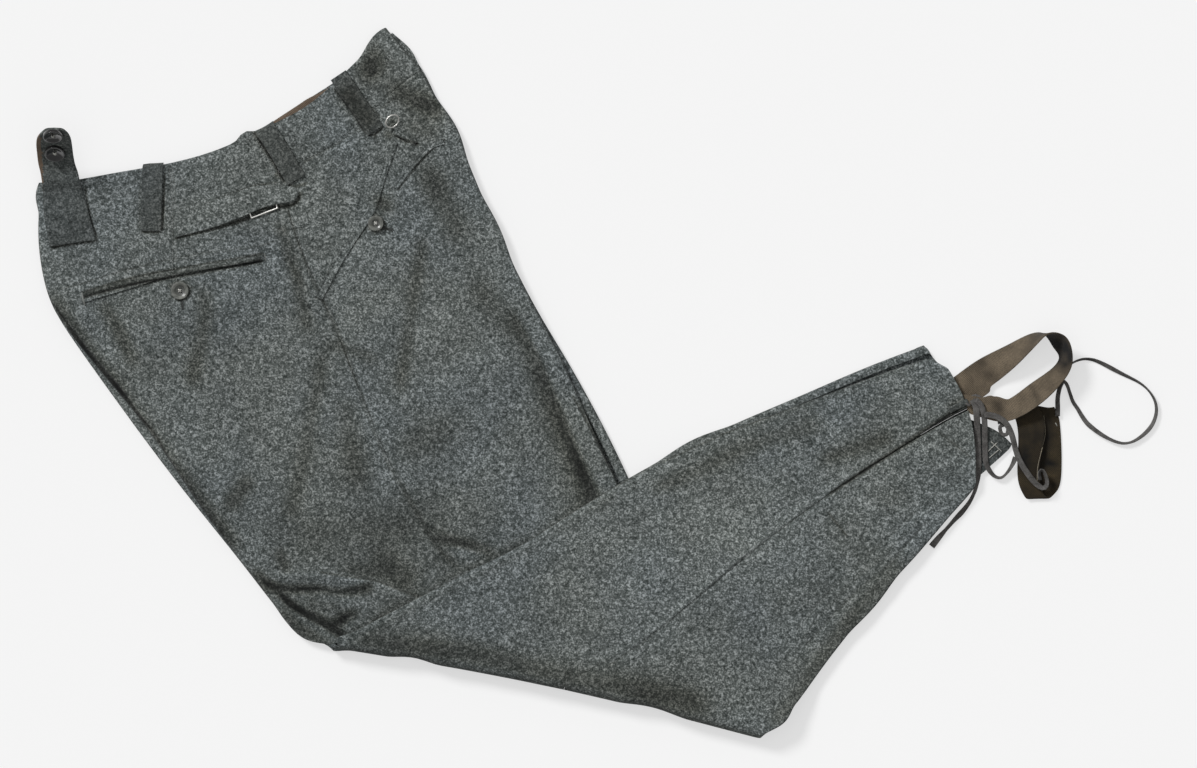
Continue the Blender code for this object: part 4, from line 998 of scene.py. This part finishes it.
dressed_tree = tree_of(cloth_under + welts)
BUTTONHOLES = (((-350.8, 81), (-350.6, 76), (-350.0, 71)), ((-349.6, 81), (-349.2, 76), (-348.8, 71)),
               ((-161.8, 149.2), (-157, 147.7), (-151.6, 145.9)),
               ((-162.2, 147.8), (-157.4, 146.3), (-152, 144.5)))
BAR_TACKS = (((-445, 87), (-443.6, 81), (-441.6, 75)), ((-444.2, 87.2), (-442.8, 81), (-440.8, 75.4)),
             ((-272.4, 124), (-271.6, 117.5)))
laid_thread("buttonhole_threads", BUTTONHOLES, DARK_THREAD, dressed_tree, 0.45)
laid_thread("bar_tack_threads", BAR_TACKS, GREY_THREAD, dressed_tree)

# Pocket buttons: four-hole buttons of grey-green resin that looks like horn, turned with a raised rim and
# sewn down flat, with pale thread crossing between the holes. Every button shares the sizes of its rim, the
# slope into its dish, its holes and the strands of its thread.
RIM_WIDTH = 2.0
DISH_SLOPE = 1.2
EDGE_WEAR = 0.45
DISH_EDGE = 2.8
HOLE_RING = 1.9
HOLE_RADIUS = 0.85
HOLE_TURNS = (45, 135, 225, 315)
LOOKS_UP = 0.9
STRAND_RADIUS = 0.26
STRANDS = (-0.4, 0.0, 0.4)
STRAND_SHIFT = 0.7
CROSSING_RISE = 0.45
BOW = ((-1.5, -1.2), (-1.1, 0.35), (0.0, 0.6), (1.1, 0.35), (1.5, -1.2))


def only_faces_up(piece):
    """Selects the faces of a piece that look straight up, and leaves it in edit mode."""
    scene.tool_settings.mesh_select_mode = (False, False, True)
    bpy.ops.object.mode_set(mode="EDIT")
    bpy.ops.mesh.select_all(action="DESELECT")
    bpy.ops.object.mode_set(mode="OBJECT")
    for face in piece.data.polygons:
        face.select = face.normal.z > LOOKS_UP
    bpy.ops.object.mode_set(mode="EDIT")


def turned_button(node, name, radius, height, dish, lean, foot, materials):
    """A turned button with four holes, its foot at a point and leaned about X, and its crossed thread."""
    bpy.ops.object.select_all(action="DESELECT")
    bpy.ops.mesh.primitive_cylinder_add(vertices=48, radius=radius * MM, depth=height * MM,
                                        location=(0.0, 0.0, height / 2 * MM))
    button = bpy.context.object
    button.name = name
    bpy.ops.object.transform_apply(location=True, rotation=True, scale=True)
    only_faces_up(button)
    bpy.ops.mesh.inset(thickness=RIM_WIDTH * MM)
    bpy.ops.mesh.inset(thickness=DISH_SLOPE * MM, depth=(dish - height) * MM)
    bpy.ops.object.mode_set(mode="OBJECT")
    ring = HOLE_RING * MM
    for turn in HOLE_TURNS:
        aside = (ring * math.cos(math.radians(turn)), ring * math.sin(math.radians(turn)), 0.0)
        bpy.ops.mesh.primitive_cylinder_add(vertices=12, radius=HOLE_RADIUS * MM, depth=4 * height * MM,
                                            location=aside)
        drill = bpy.context.object
        hole = button.modifiers.new("hole", "BOOLEAN")
        hole.operation = "DIFFERENCE"
        hole.object = drill
        finish(button, hole)
        bpy.data.objects.remove(drill)
    soft_rims(button, EDGE_WEAR, segments=3)
    # The faces in the dish take the second material, which holds painted shade on the pocket buttons
    for face in button.data.polygons:
        inside = face.center.xy.length < (radius - DISH_EDGE) * MM
        face.material_index = int(inside and face.center.z < height * MM)
    leaned = Matrix.Rotation(math.radians(lean), 4, "X")
    button.data.transform(Matrix.Translation(Vector(foot) * MM) @ leaned)
    dress(button, node, materials)
    shells = []
    for rise, across in ((0.0, 1.0), (CROSSING_RISE, -1.0)):
        for strand in STRANDS:
            run = [Vector((along + STRAND_SHIFT * strand, across * along - STRAND_SHIFT * across * strand,
                           dish + rise + up)) for along, up in BOW]
            shells.append(swept([Vector(foot) + leaned @ point for point in run],
                                round_outline(STRAND_RADIUS, 6)))
    new_piece(name + "_thread", shells, BUTTON_THREAD)


def polished(name, dark, pale, roughness, coat):
    """Horn or resin with cloudy streaks and a polished face."""
    horn = new_material(name)
    clouds = noise(horn, object_place(horn), {"Scale": 160.0, "Distortion": 1.2})
    return finish_with(horn, {"Base Color": coloured(horn, clouds, ((0.35, dark), (0.65, pale))),
                              "Roughness": roughness, "Coat Weight": coat, "Coat Roughness": 0.15})


BUTTON_THREAD = plain_thread("button_thread", (0.42, 0.42, 0.39))
HORN = polished("grey_horn", (0.06, 0.064, 0.056), (0.14, 0.145, 0.13), 0.5, 0.3)
# The dish of the pocket buttons is a darker copy of the horn: painted shade in the hollow of the dish
SHADED_DISH_HORN = polished("dish_horn_painted_shade", (0.026, 0.028, 0.024), (0.06, 0.063, 0.056), 0.5, 0.1)
POCKET_BUTTONS = (
    # node, piece, radius
    ("back_pocket_button", "back_pocket_button_horn", 8.3),
    ("front_pocket_button", "front_pocket_button_horn", 7.2),
)
POCKET_BUTTON_HEIGHT = 2.8
POCKET_BUTTON_DISH = 1.6
for node, name, radius in POCKET_BUTTONS:
    low, high = (Vector(corner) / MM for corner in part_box(node))
    middle = (low + high) / 2
    turned_button(node, name, radius, POCKET_BUTTON_HEIGHT, POCKET_BUTTON_DISH, 0.0,
                  (middle.x, middle.y, low.z), (HORN, SHADED_DISH_HORN))

# Tab buttons: two larger buttons of black glossy resin, sewn to the tongue that stands up above the waist.
BLACK_RESIN = polished("black_resin", (0.005, 0.005, 0.005), (0.011, 0.01, 0.01), 0.14, 1.0)
TAB_BUTTONS = (
    # node, piece, lean
    ("tab_button_lower", "tab_button_lower_resin", 46.5),
    ("tab_button_upper", "tab_button_upper_resin", 56.5),
)
TAB_BUTTON_RADIUS = 9.4
TAB_BUTTON_HEIGHT = 3.2
TAB_BUTTON_DISH = 1.8
for node, name, lean in TAB_BUTTONS:
    low, high = (Vector(corner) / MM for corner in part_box(node))
    back = Matrix.Rotation(math.radians(lean), 4, "X") @ Vector((0.0, 0.0, TAB_BUTTON_HEIGHT / 2))
    turned_button(node, name, TAB_BUTTON_RADIUS, TAB_BUTTON_HEIGHT, TAB_BUTTON_DISH, lean,
                  (low + high) / 2 - back, (BLACK_RESIN, BLACK_RESIN))

# Watch pocket ring and cinch buckle: bent steel wire. The ring hangs at the watch pocket, and the buckle's
# lower bar shows below the strap that runs through it.
def steel_wire(name):
    """Drawn steel, polished and slightly scratched."""
    steel = new_material(name)
    scratches = noise(steel, object_place(steel), {"Scale": 700.0})
    return finish_with(steel, {"Roughness": remapped(steel, scratches, 0.0, 1.0, 0.38, 0.6),
                               "Base Color": (0.86, 0.85, 0.81, 1.0), "Metallic": 1.0})


STEEL = steel_wire("steel_wire")
RING_RADIUS = 6.8
RING_WIRE = 0.7
RING_TILT = (math.radians(40), 0.0, math.radians(42))
RING_SQUEEZE = 0.94


def seated(piece, node):
    """Puts a wire piece's place into its mesh and lets it stand for its node."""
    bpy.ops.object.transform_apply(location=True, rotation=True, scale=True)
    piece.data.shade_smooth()
    dress(piece, node, [STEEL])


low, high = (Vector(corner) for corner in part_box("watch_pocket_ring"))
bpy.ops.object.select_all(action="DESELECT")
bpy.ops.mesh.primitive_torus_add(major_segments=72, minor_segments=16, major_radius=RING_RADIUS * MM,
                                 minor_radius=RING_WIRE * MM, location=(low + high) / 2, rotation=RING_TILT)
ring = bpy.context.object
ring.name = "watch_pocket_ring_wire"
ring.scale = (1.0, RING_SQUEEZE, 1.0)
seated(ring, "watch_pocket_ring")

# The buckle starts as a ring of four corners, and its sides are moved out to its length and width
BUCKLE_RADIUS = 10.0
BUCKLE_WIRE = 1.2
BUCKLE_TURN = 21
BUCKLE_BEND = 1.0
BUCKLE_SIDES = ((0, 1, 6.0), (0, -1, -6.0), (1, 1, 1.1), (1, -1, -1.1))
low, high = (Vector(corner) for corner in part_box("cinch_buckle"))
bpy.ops.object.select_all(action="DESELECT")
bpy.ops.mesh.primitive_torus_add(major_segments=4, minor_segments=20, major_radius=BUCKLE_RADIUS * MM,
                                 minor_radius=BUCKLE_WIRE * MM, rotation=(0.0, 0.0, math.radians(45)))
buckle = bpy.context.object
buckle.name = "cinch_buckle_wire"
bpy.ops.object.transform_apply(location=True, rotation=True, scale=True)
scene.tool_settings.mesh_select_mode = (True, False, False)
for axis, end, shift in BUCKLE_SIDES:
    bpy.ops.object.mode_set(mode="EDIT")
    bpy.ops.mesh.select_all(action="DESELECT")
    bpy.ops.object.mode_set(mode="OBJECT")
    for vertex in buckle.data.vertices:
        vertex.select = vertex.co[axis] * end > 0
    bpy.ops.object.mode_set(mode="EDIT")
    bpy.ops.transform.translate(value=[shift * MM if part == axis else 0.0 for part in range(3)])
    bpy.ops.object.mode_set(mode="OBJECT")
soft_rims(buckle, BUCKLE_BEND, segments=4)
buckle.rotation_euler = (0.0, 0.0, math.radians(BUCKLE_TURN))
buckle.location = (low + high) / 2
seated(buckle, "cinch_buckle")

# Right hem end: the hem of the right leg beyond the upper one, with thread eyelets for the tie and long
# crossing stitches.
HEM_THREAD = plain_thread("hem_thread", (0.34, 0.34, 0.31))
CROSSING_STITCHES = (((410.8, -53), (415.8, -57.6), (420.9, -62.3)),
                     ((406.5, -63.5), (411.5, -58.6), (416.6, -53.7)),
                     ((409.3, -68.1), (413.6, -64.4), (418, -60.7)))
hem_end = dressed_copy("right_hem_end", "right_hem_end_wool", LOOP_WOOL, lower_leg_lift)
crossing = laid_thread("crossing_stitches", CROSSING_STITCHES, HEM_THREAD, tree_of([hem_end]), 0.45)

# Foot straps: flat brown cotton twill, edge-stitched, that pass under the foot and have gone soft.
STRAP_PALE = cotton_twill("strap_cotton_pale", (0.05, 0.039, 0.026), (0.165, 0.13, 0.09), 0.22)
STRAP_DARK = cotton_twill("strap_cotton_dark", (0.0098, 0.0072, 0.0032), (0.038, 0.027, 0.0125), 0.3)
STRAP_ONE_CREASES = (
    # Rows as for the thigh: painted shade in the folds and on the inner face of the turn, painted highlight
    # on the rises, and part of the upper band paler
    (-0.8, 2.6, 2.6, -0.2, ((382, 23), (387, 14), (392, 5), (397, -6), (400, -14))),
    (0.5, 4.0, 4.0, 0.2, ((378, 14), (383, 4), (388, -6))),
    (-0.8, 6.0, 6.0, -0.6, ((395, 30), (401, 20), (407, 13), (414, 7), (422, 2))),
    (0.4, 4.0, 4.0, 0.15, ((410, 26), (418, 18), (426, 14))),
    (-0.5, 4.5, 4.5, 0.05, ((414, 26), (423, 29), (433, 31), (445, 37), (454, 44))),
    (0.0, 6.0, 6.0, 0.3, ((424, 38), (436, 42), (450, 48))),
    (0.0, 6.0, 6.0, -0.3, ((452, 2), (463, 1), (474, 6))),
    (-0.4, 5.0, 5.0, -0.6, ((408, -8), (414, -16), (420, -26), (424, -36))),
    (0.0, 9.0, 9.0, -0.95, ((456, 60), (467, 44), (475, 33), (484, 16))),
    (0.0, 9.0, 9.0, -0.75, ((462, 62), (475, 45), (481, 27), (483, 14), (482, -2))),
    (-0.4, 3.0, 3.0, -0.45, ((446, 6), (450, -4), (454, -14), (456, -24))),
    (0.3, 6.0, 6.0, 0.15, ((462, 6), (448, -4), (438, -10))),
    (0.0, 3.0, 6.0, -0.3, ((366, 6), (386, 20), (402, 31), (430, 46), (455, 53))),
)
STRAP_TWO_CREASES = (
    # Rows as for the thigh: painted shade in the folds and under the top, painted highlight on the rises,
    # and the left arm darker
    (0.0, 10.0, 10.0, -0.85, ((424, -24), (436, -16), (452, -12), (468, -14))),
    (0.0, 5.0, 5.0, -0.7, ((464, -20), (464, -50), (460, -72), (456, -98))),
    (0.6, 3.0, 3.0, 0.4, ((460, -60), (468, -65), (479, -64))),
    (-0.7, 3.0, 3.0, -0.7, ((459, -70), (468, -74), (479, -73))),
    (0.5, 3.0, 3.0, 0.4, ((456, -83), (466, -86), (479, -82))),
    (-0.5, 3.0, 3.0, -0.6, ((456, -92), (466, -94), (478, -92))),
    (-0.4, 5.0, 5.0, -0.4, ((434, -30), (440, -60), (440, -90))),
    (0.0, 9.0, 8.0, -0.75, ((449, -24), (448, -50), (447, -76), (449, -100))),
    (0.3, 4.0, 4.0, 0.3, ((446, -28), (449, -50), (446, -74))),
)
STRAP_ONE_HOLE = ((399, -12, 18, 9, 0), (414, -18, 15, 0, 6))
STRAP_TWO_TOP = ((469, -16, 20, 0, -6),)
FOOT_STRAPS = (
    # node, piece, material, creases, where it is pushed, width and length of the cut, its area
    ("foot_strap_one", "foot_strap_one_cotton", STRAP_PALE, STRAP_ONE_CREASES, STRAP_ONE_HOLE,
     0.026, 0.26, 0.00649),
    ("foot_strap_two", "foot_strap_two_cotton", STRAP_DARK, STRAP_TWO_CREASES, STRAP_TWO_TOP,
     0.024, 0.2, 0.00456),
)
foot_straps = []
for node, name, material, creases, moves, width, length, area in FOOT_STRAPS:
    strap = dressed_copy(node, name, material, lambda spots: crease_lift(creases, spots), rims=0.3,
                         moves=moves)
    foot_straps.append(strap)
EDGE_THREAD = plain_thread("strap_edge_thread", (0.17, 0.145, 0.105))
EDGE_STITCHING = (((460.5, -27.7), (461.9, -45), (458.3, -60.8), (454.6, -76.7), (453.9, -92)),)
WHITE_STITCH = (((471.6, -35.2), (473.2, -38.4)),)
strap_tree = tree_of(foot_straps)
laid_thread("strap_edge_stitching", EDGE_STITCHING, EDGE_THREAD, strap_tree)
laid_thread("strap_white_stitch", WHITE_STITCH, HEM_THREAD, strap_tree, 0.45)

# Tie tapes: flat grey cotton tape, knotted at the top of the hem vent, with its free ends loose.
def woven_tape(name, dark, pale):
    """Flat cotton tape of fine strands, faded in patches."""
    tape = new_material(name)
    place = object_place(tape)
    strands = noise(tape, place, {"Scale": 1100.0})
    fade = noise(tape, place, {"Scale": 120.0})
    colours = coloured(tape, blended(tape, strands, fade, 0.45), ((0.35, dark), (0.65, pale)))
    return finish_with(tape, {"Base Color": colours, "Normal": relief(tape, strands, 0.7, 0.0003),
                              "Roughness": 0.85, "Specular IOR Level": 0.2})


TAPE = woven_tape("tape_cotton", (0.04, 0.038, 0.036), (0.13, 0.125, 0.12))
TAPE_THICKNESS = 1.1
TAPE_SPACING = 2.5
FLOOR_GAP = 0.15
TAPES = (
    # node, piece, width, far end, turns along it in degrees, points of its middle line
    ("tie_tape_long", "tie_tape_long_cotton", 6.2, "bare",
     (0, 0, 6, 0, -8, 0, 10, 20, 55, 60, 50, 35, 55, 60, 30, 0), (
        (392.5, -13.5, 10.4), (396, -20, 10.4), (397, -30, 10.2), (397.6, -42, 7.0), (398, -54, 6.2),
        (398.5, -66, 5.9), (398.6, -78, 5.6), (397.8, -88, 5.0), (396, -98, 3.6), (391, -109, 3.2),
        (384, -118.5, 3.2), (376, -127, 3.2), (368.5, -135.5, 3.2), (361.5, -143.5, 3.2),
        (355, -151.6, 1.2))),
    ("tie_tape_short", "tie_tape_short_cotton", 5.4, "object", (0, 0, 0, 0, 5, 10, 10, 30, 60, 75, 60, 30), (
        (395.5, -13.5, 11.6), (400.5, -18, 11.4), (403.5, -27, 10.6), (404.6, -38, 8.4),
        (404.8, -50, 6.6), (405, -62, 6.0), (405.6, -71, 5.6), (408, -78, 4.6), (413.5, -85, 3.4),
        (420, -87, 3.2), (426, -82, 3.6), (431, -74, 5.6), (433.6, -67.5, 6.2))),
    ("tie_tape_eyelet", "tie_tape_eyelet_cotton", 5.6, "bare", (0, 0, 0, 12, 20, 10, 5, 20, 55, 65, 50), (
        (404, -27.5, 12.4), (410, -28, 12.6), (417.3, -30.3, 12.9), (424, -35.4, 12.6),
        (428.6, -43, 10.6), (431.6, -52, 9.2), (434, -62, 8.8), (438, -72, 8.8), (443.5, -81, 8.8),
        (450.8, -90.5, 8.8), (458.3, -96.4, 9.4), (462.6, -94.2, 10.2), (462.4, -87, 10.4),
        (458.6, -79.5, 10.4), (455.6, -82.4, 11.2), (456.4, -89, 12.6))),
    ("tie_tape_loop", "tie_tape_loop_cotton", 4.6, "object",
     (0, 30, 50, 40, 10, 50, 70, 40, 60, 80, 60, 30, 60, 80), (
        (473.4, -29, 3.4), (473.6, -21, 2.8), (473.6, -12, 2.4), (475.6, -2, 2.4), (479.2, 3.6, 2.4),
        (482.4, 0.4, 2.4), (484.8, -6.4, 2.4), (488.0, -15.4, 2.4), (492.4, -22.1, 2.4),
        (496.5, -29.0, 2.4), (501.2, -35.5, 2.4), (507.2, -40.8, 2.4), (513.7, -45.5, 2.4),
        (520.6, -49.6, 2.4), (528.0, -52.9, 2.4), (535.8, -54.6, 2.4), (543.6, -53.2, 2.4),
        (550.6, -49.3, 2.4), (556.8, -44.2, 2.4), (561.9, -38.1, 2.4), (565.3, -30.8, 2.4),
        (566.6, -22.9, 2.4), (565.3, -15.0, 2.4), (561.5, -7.9, 2.4), (556.3, -1.9, 2.4),
        (549.9, 2.9, 2.4), (542.8, 6.7, 2.4), (535.6, 10.2, 2.4), (528.4, 13.9, 2.4),
        (521.3, 17.7, 2.4), (514.2, 21.3, 2.4), (506.7, 24.1, 2.4), (498.7, 24.9, 2.4),
        (491.0, 22.9, 2.4), (484, 19, 2.4))),
)


def flat_outline(width, thickness):
    """A tape's outline, with rounded edges."""
    half = width / 2 - thickness / 2
    edge = [(half + thickness / 2 * math.cos(turn), thickness / 2 * math.sin(turn))
            for turn in np.linspace(-math.pi / 2, math.pi / 2, 5)]
    middle = [(half * share, thickness / 2) for share in (0.5, 0.0, -0.5)]
    return edge + middle + [(-x, -y) for x, y in edge] + [(-x, -y) for x, y in middle]


for node, name, width, far_end, turns, route in TAPES:
    points = smooth_line(route, TAPE_SPACING)
    marks = np.linspace(0, len(turns) - 1, len(points))
    twist = np.radians(np.interp(marks, range(len(turns)), turns))
    reach = np.abs(np.sin(twist)) * width / 2 + np.abs(np.cos(twist)) * TAPE_THICKNESS / 2
    points[:, 2] = np.maximum(points[:, 2], reach + FLOOR_GAP)
    tape = new_piece(name, [swept(points, flat_outline(width, TAPE_THICKNESS), list(twist))], TAPE)
    length = float(np.linalg.norm(np.diff(points, axis=0), axis=1).sum())
    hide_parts(node)

# Knot of the tie: a strip of the closer wool that the tapes run through, the turn of tape over it, and a
# small second knot at the hem's corner.
HEM_HEIGHT = 4.0
knot_tree = tree_of(cloth_under + [hem_end])
KNOT = (
    # piece, material, width, thickness, slot, points across the cloth with the height above it
    ("tie_keeper_wool", LOOP_WOOL, 5.6, 1.4, "wool", (
        (371, -23.6, 0.9), (378, -20.2, 1.1), (386, -16.2, 1.2), (393, -12.4, 1.0))),
    ("tie_turn_cotton", TAPE, 4.8, 1.1, "tape", (
        (388, -19, 2.2), (391, -13.6, 3.2), (395.4, -10.6, 3.8), (400, -12.6, 3.6), (402.6, -18, 2.8))),
    ("tie_second_knot_cotton", TAPE, 3.6, 1.1, "tape", (
        (417, -35, 1.6), (422, -34.4, 2.6), (426.4, -39, 3.0), (425.4, -46, 2.6), (420.6, -45.4, 2.2),
        (419, -39, 3.4), (423, -37, 4.0))),
)
for name, material, width, thickness, slot, route in KNOT:
    asides = ((0, 0), (width / 2, 0), (-width / 2, 0), (0, width / 2), (0, -width / 2))
    run = []
    for x, y, rise in smooth_line(route, THREAD_SPACING):
        under = max(rest_height(knot_tree, x + aside, y + beyond, HEM_HEIGHT) for aside, beyond in asides)
        run.append((x, y, under + rise))
    new_piece(name, [swept(run, flat_outline(width, thickness))], material)
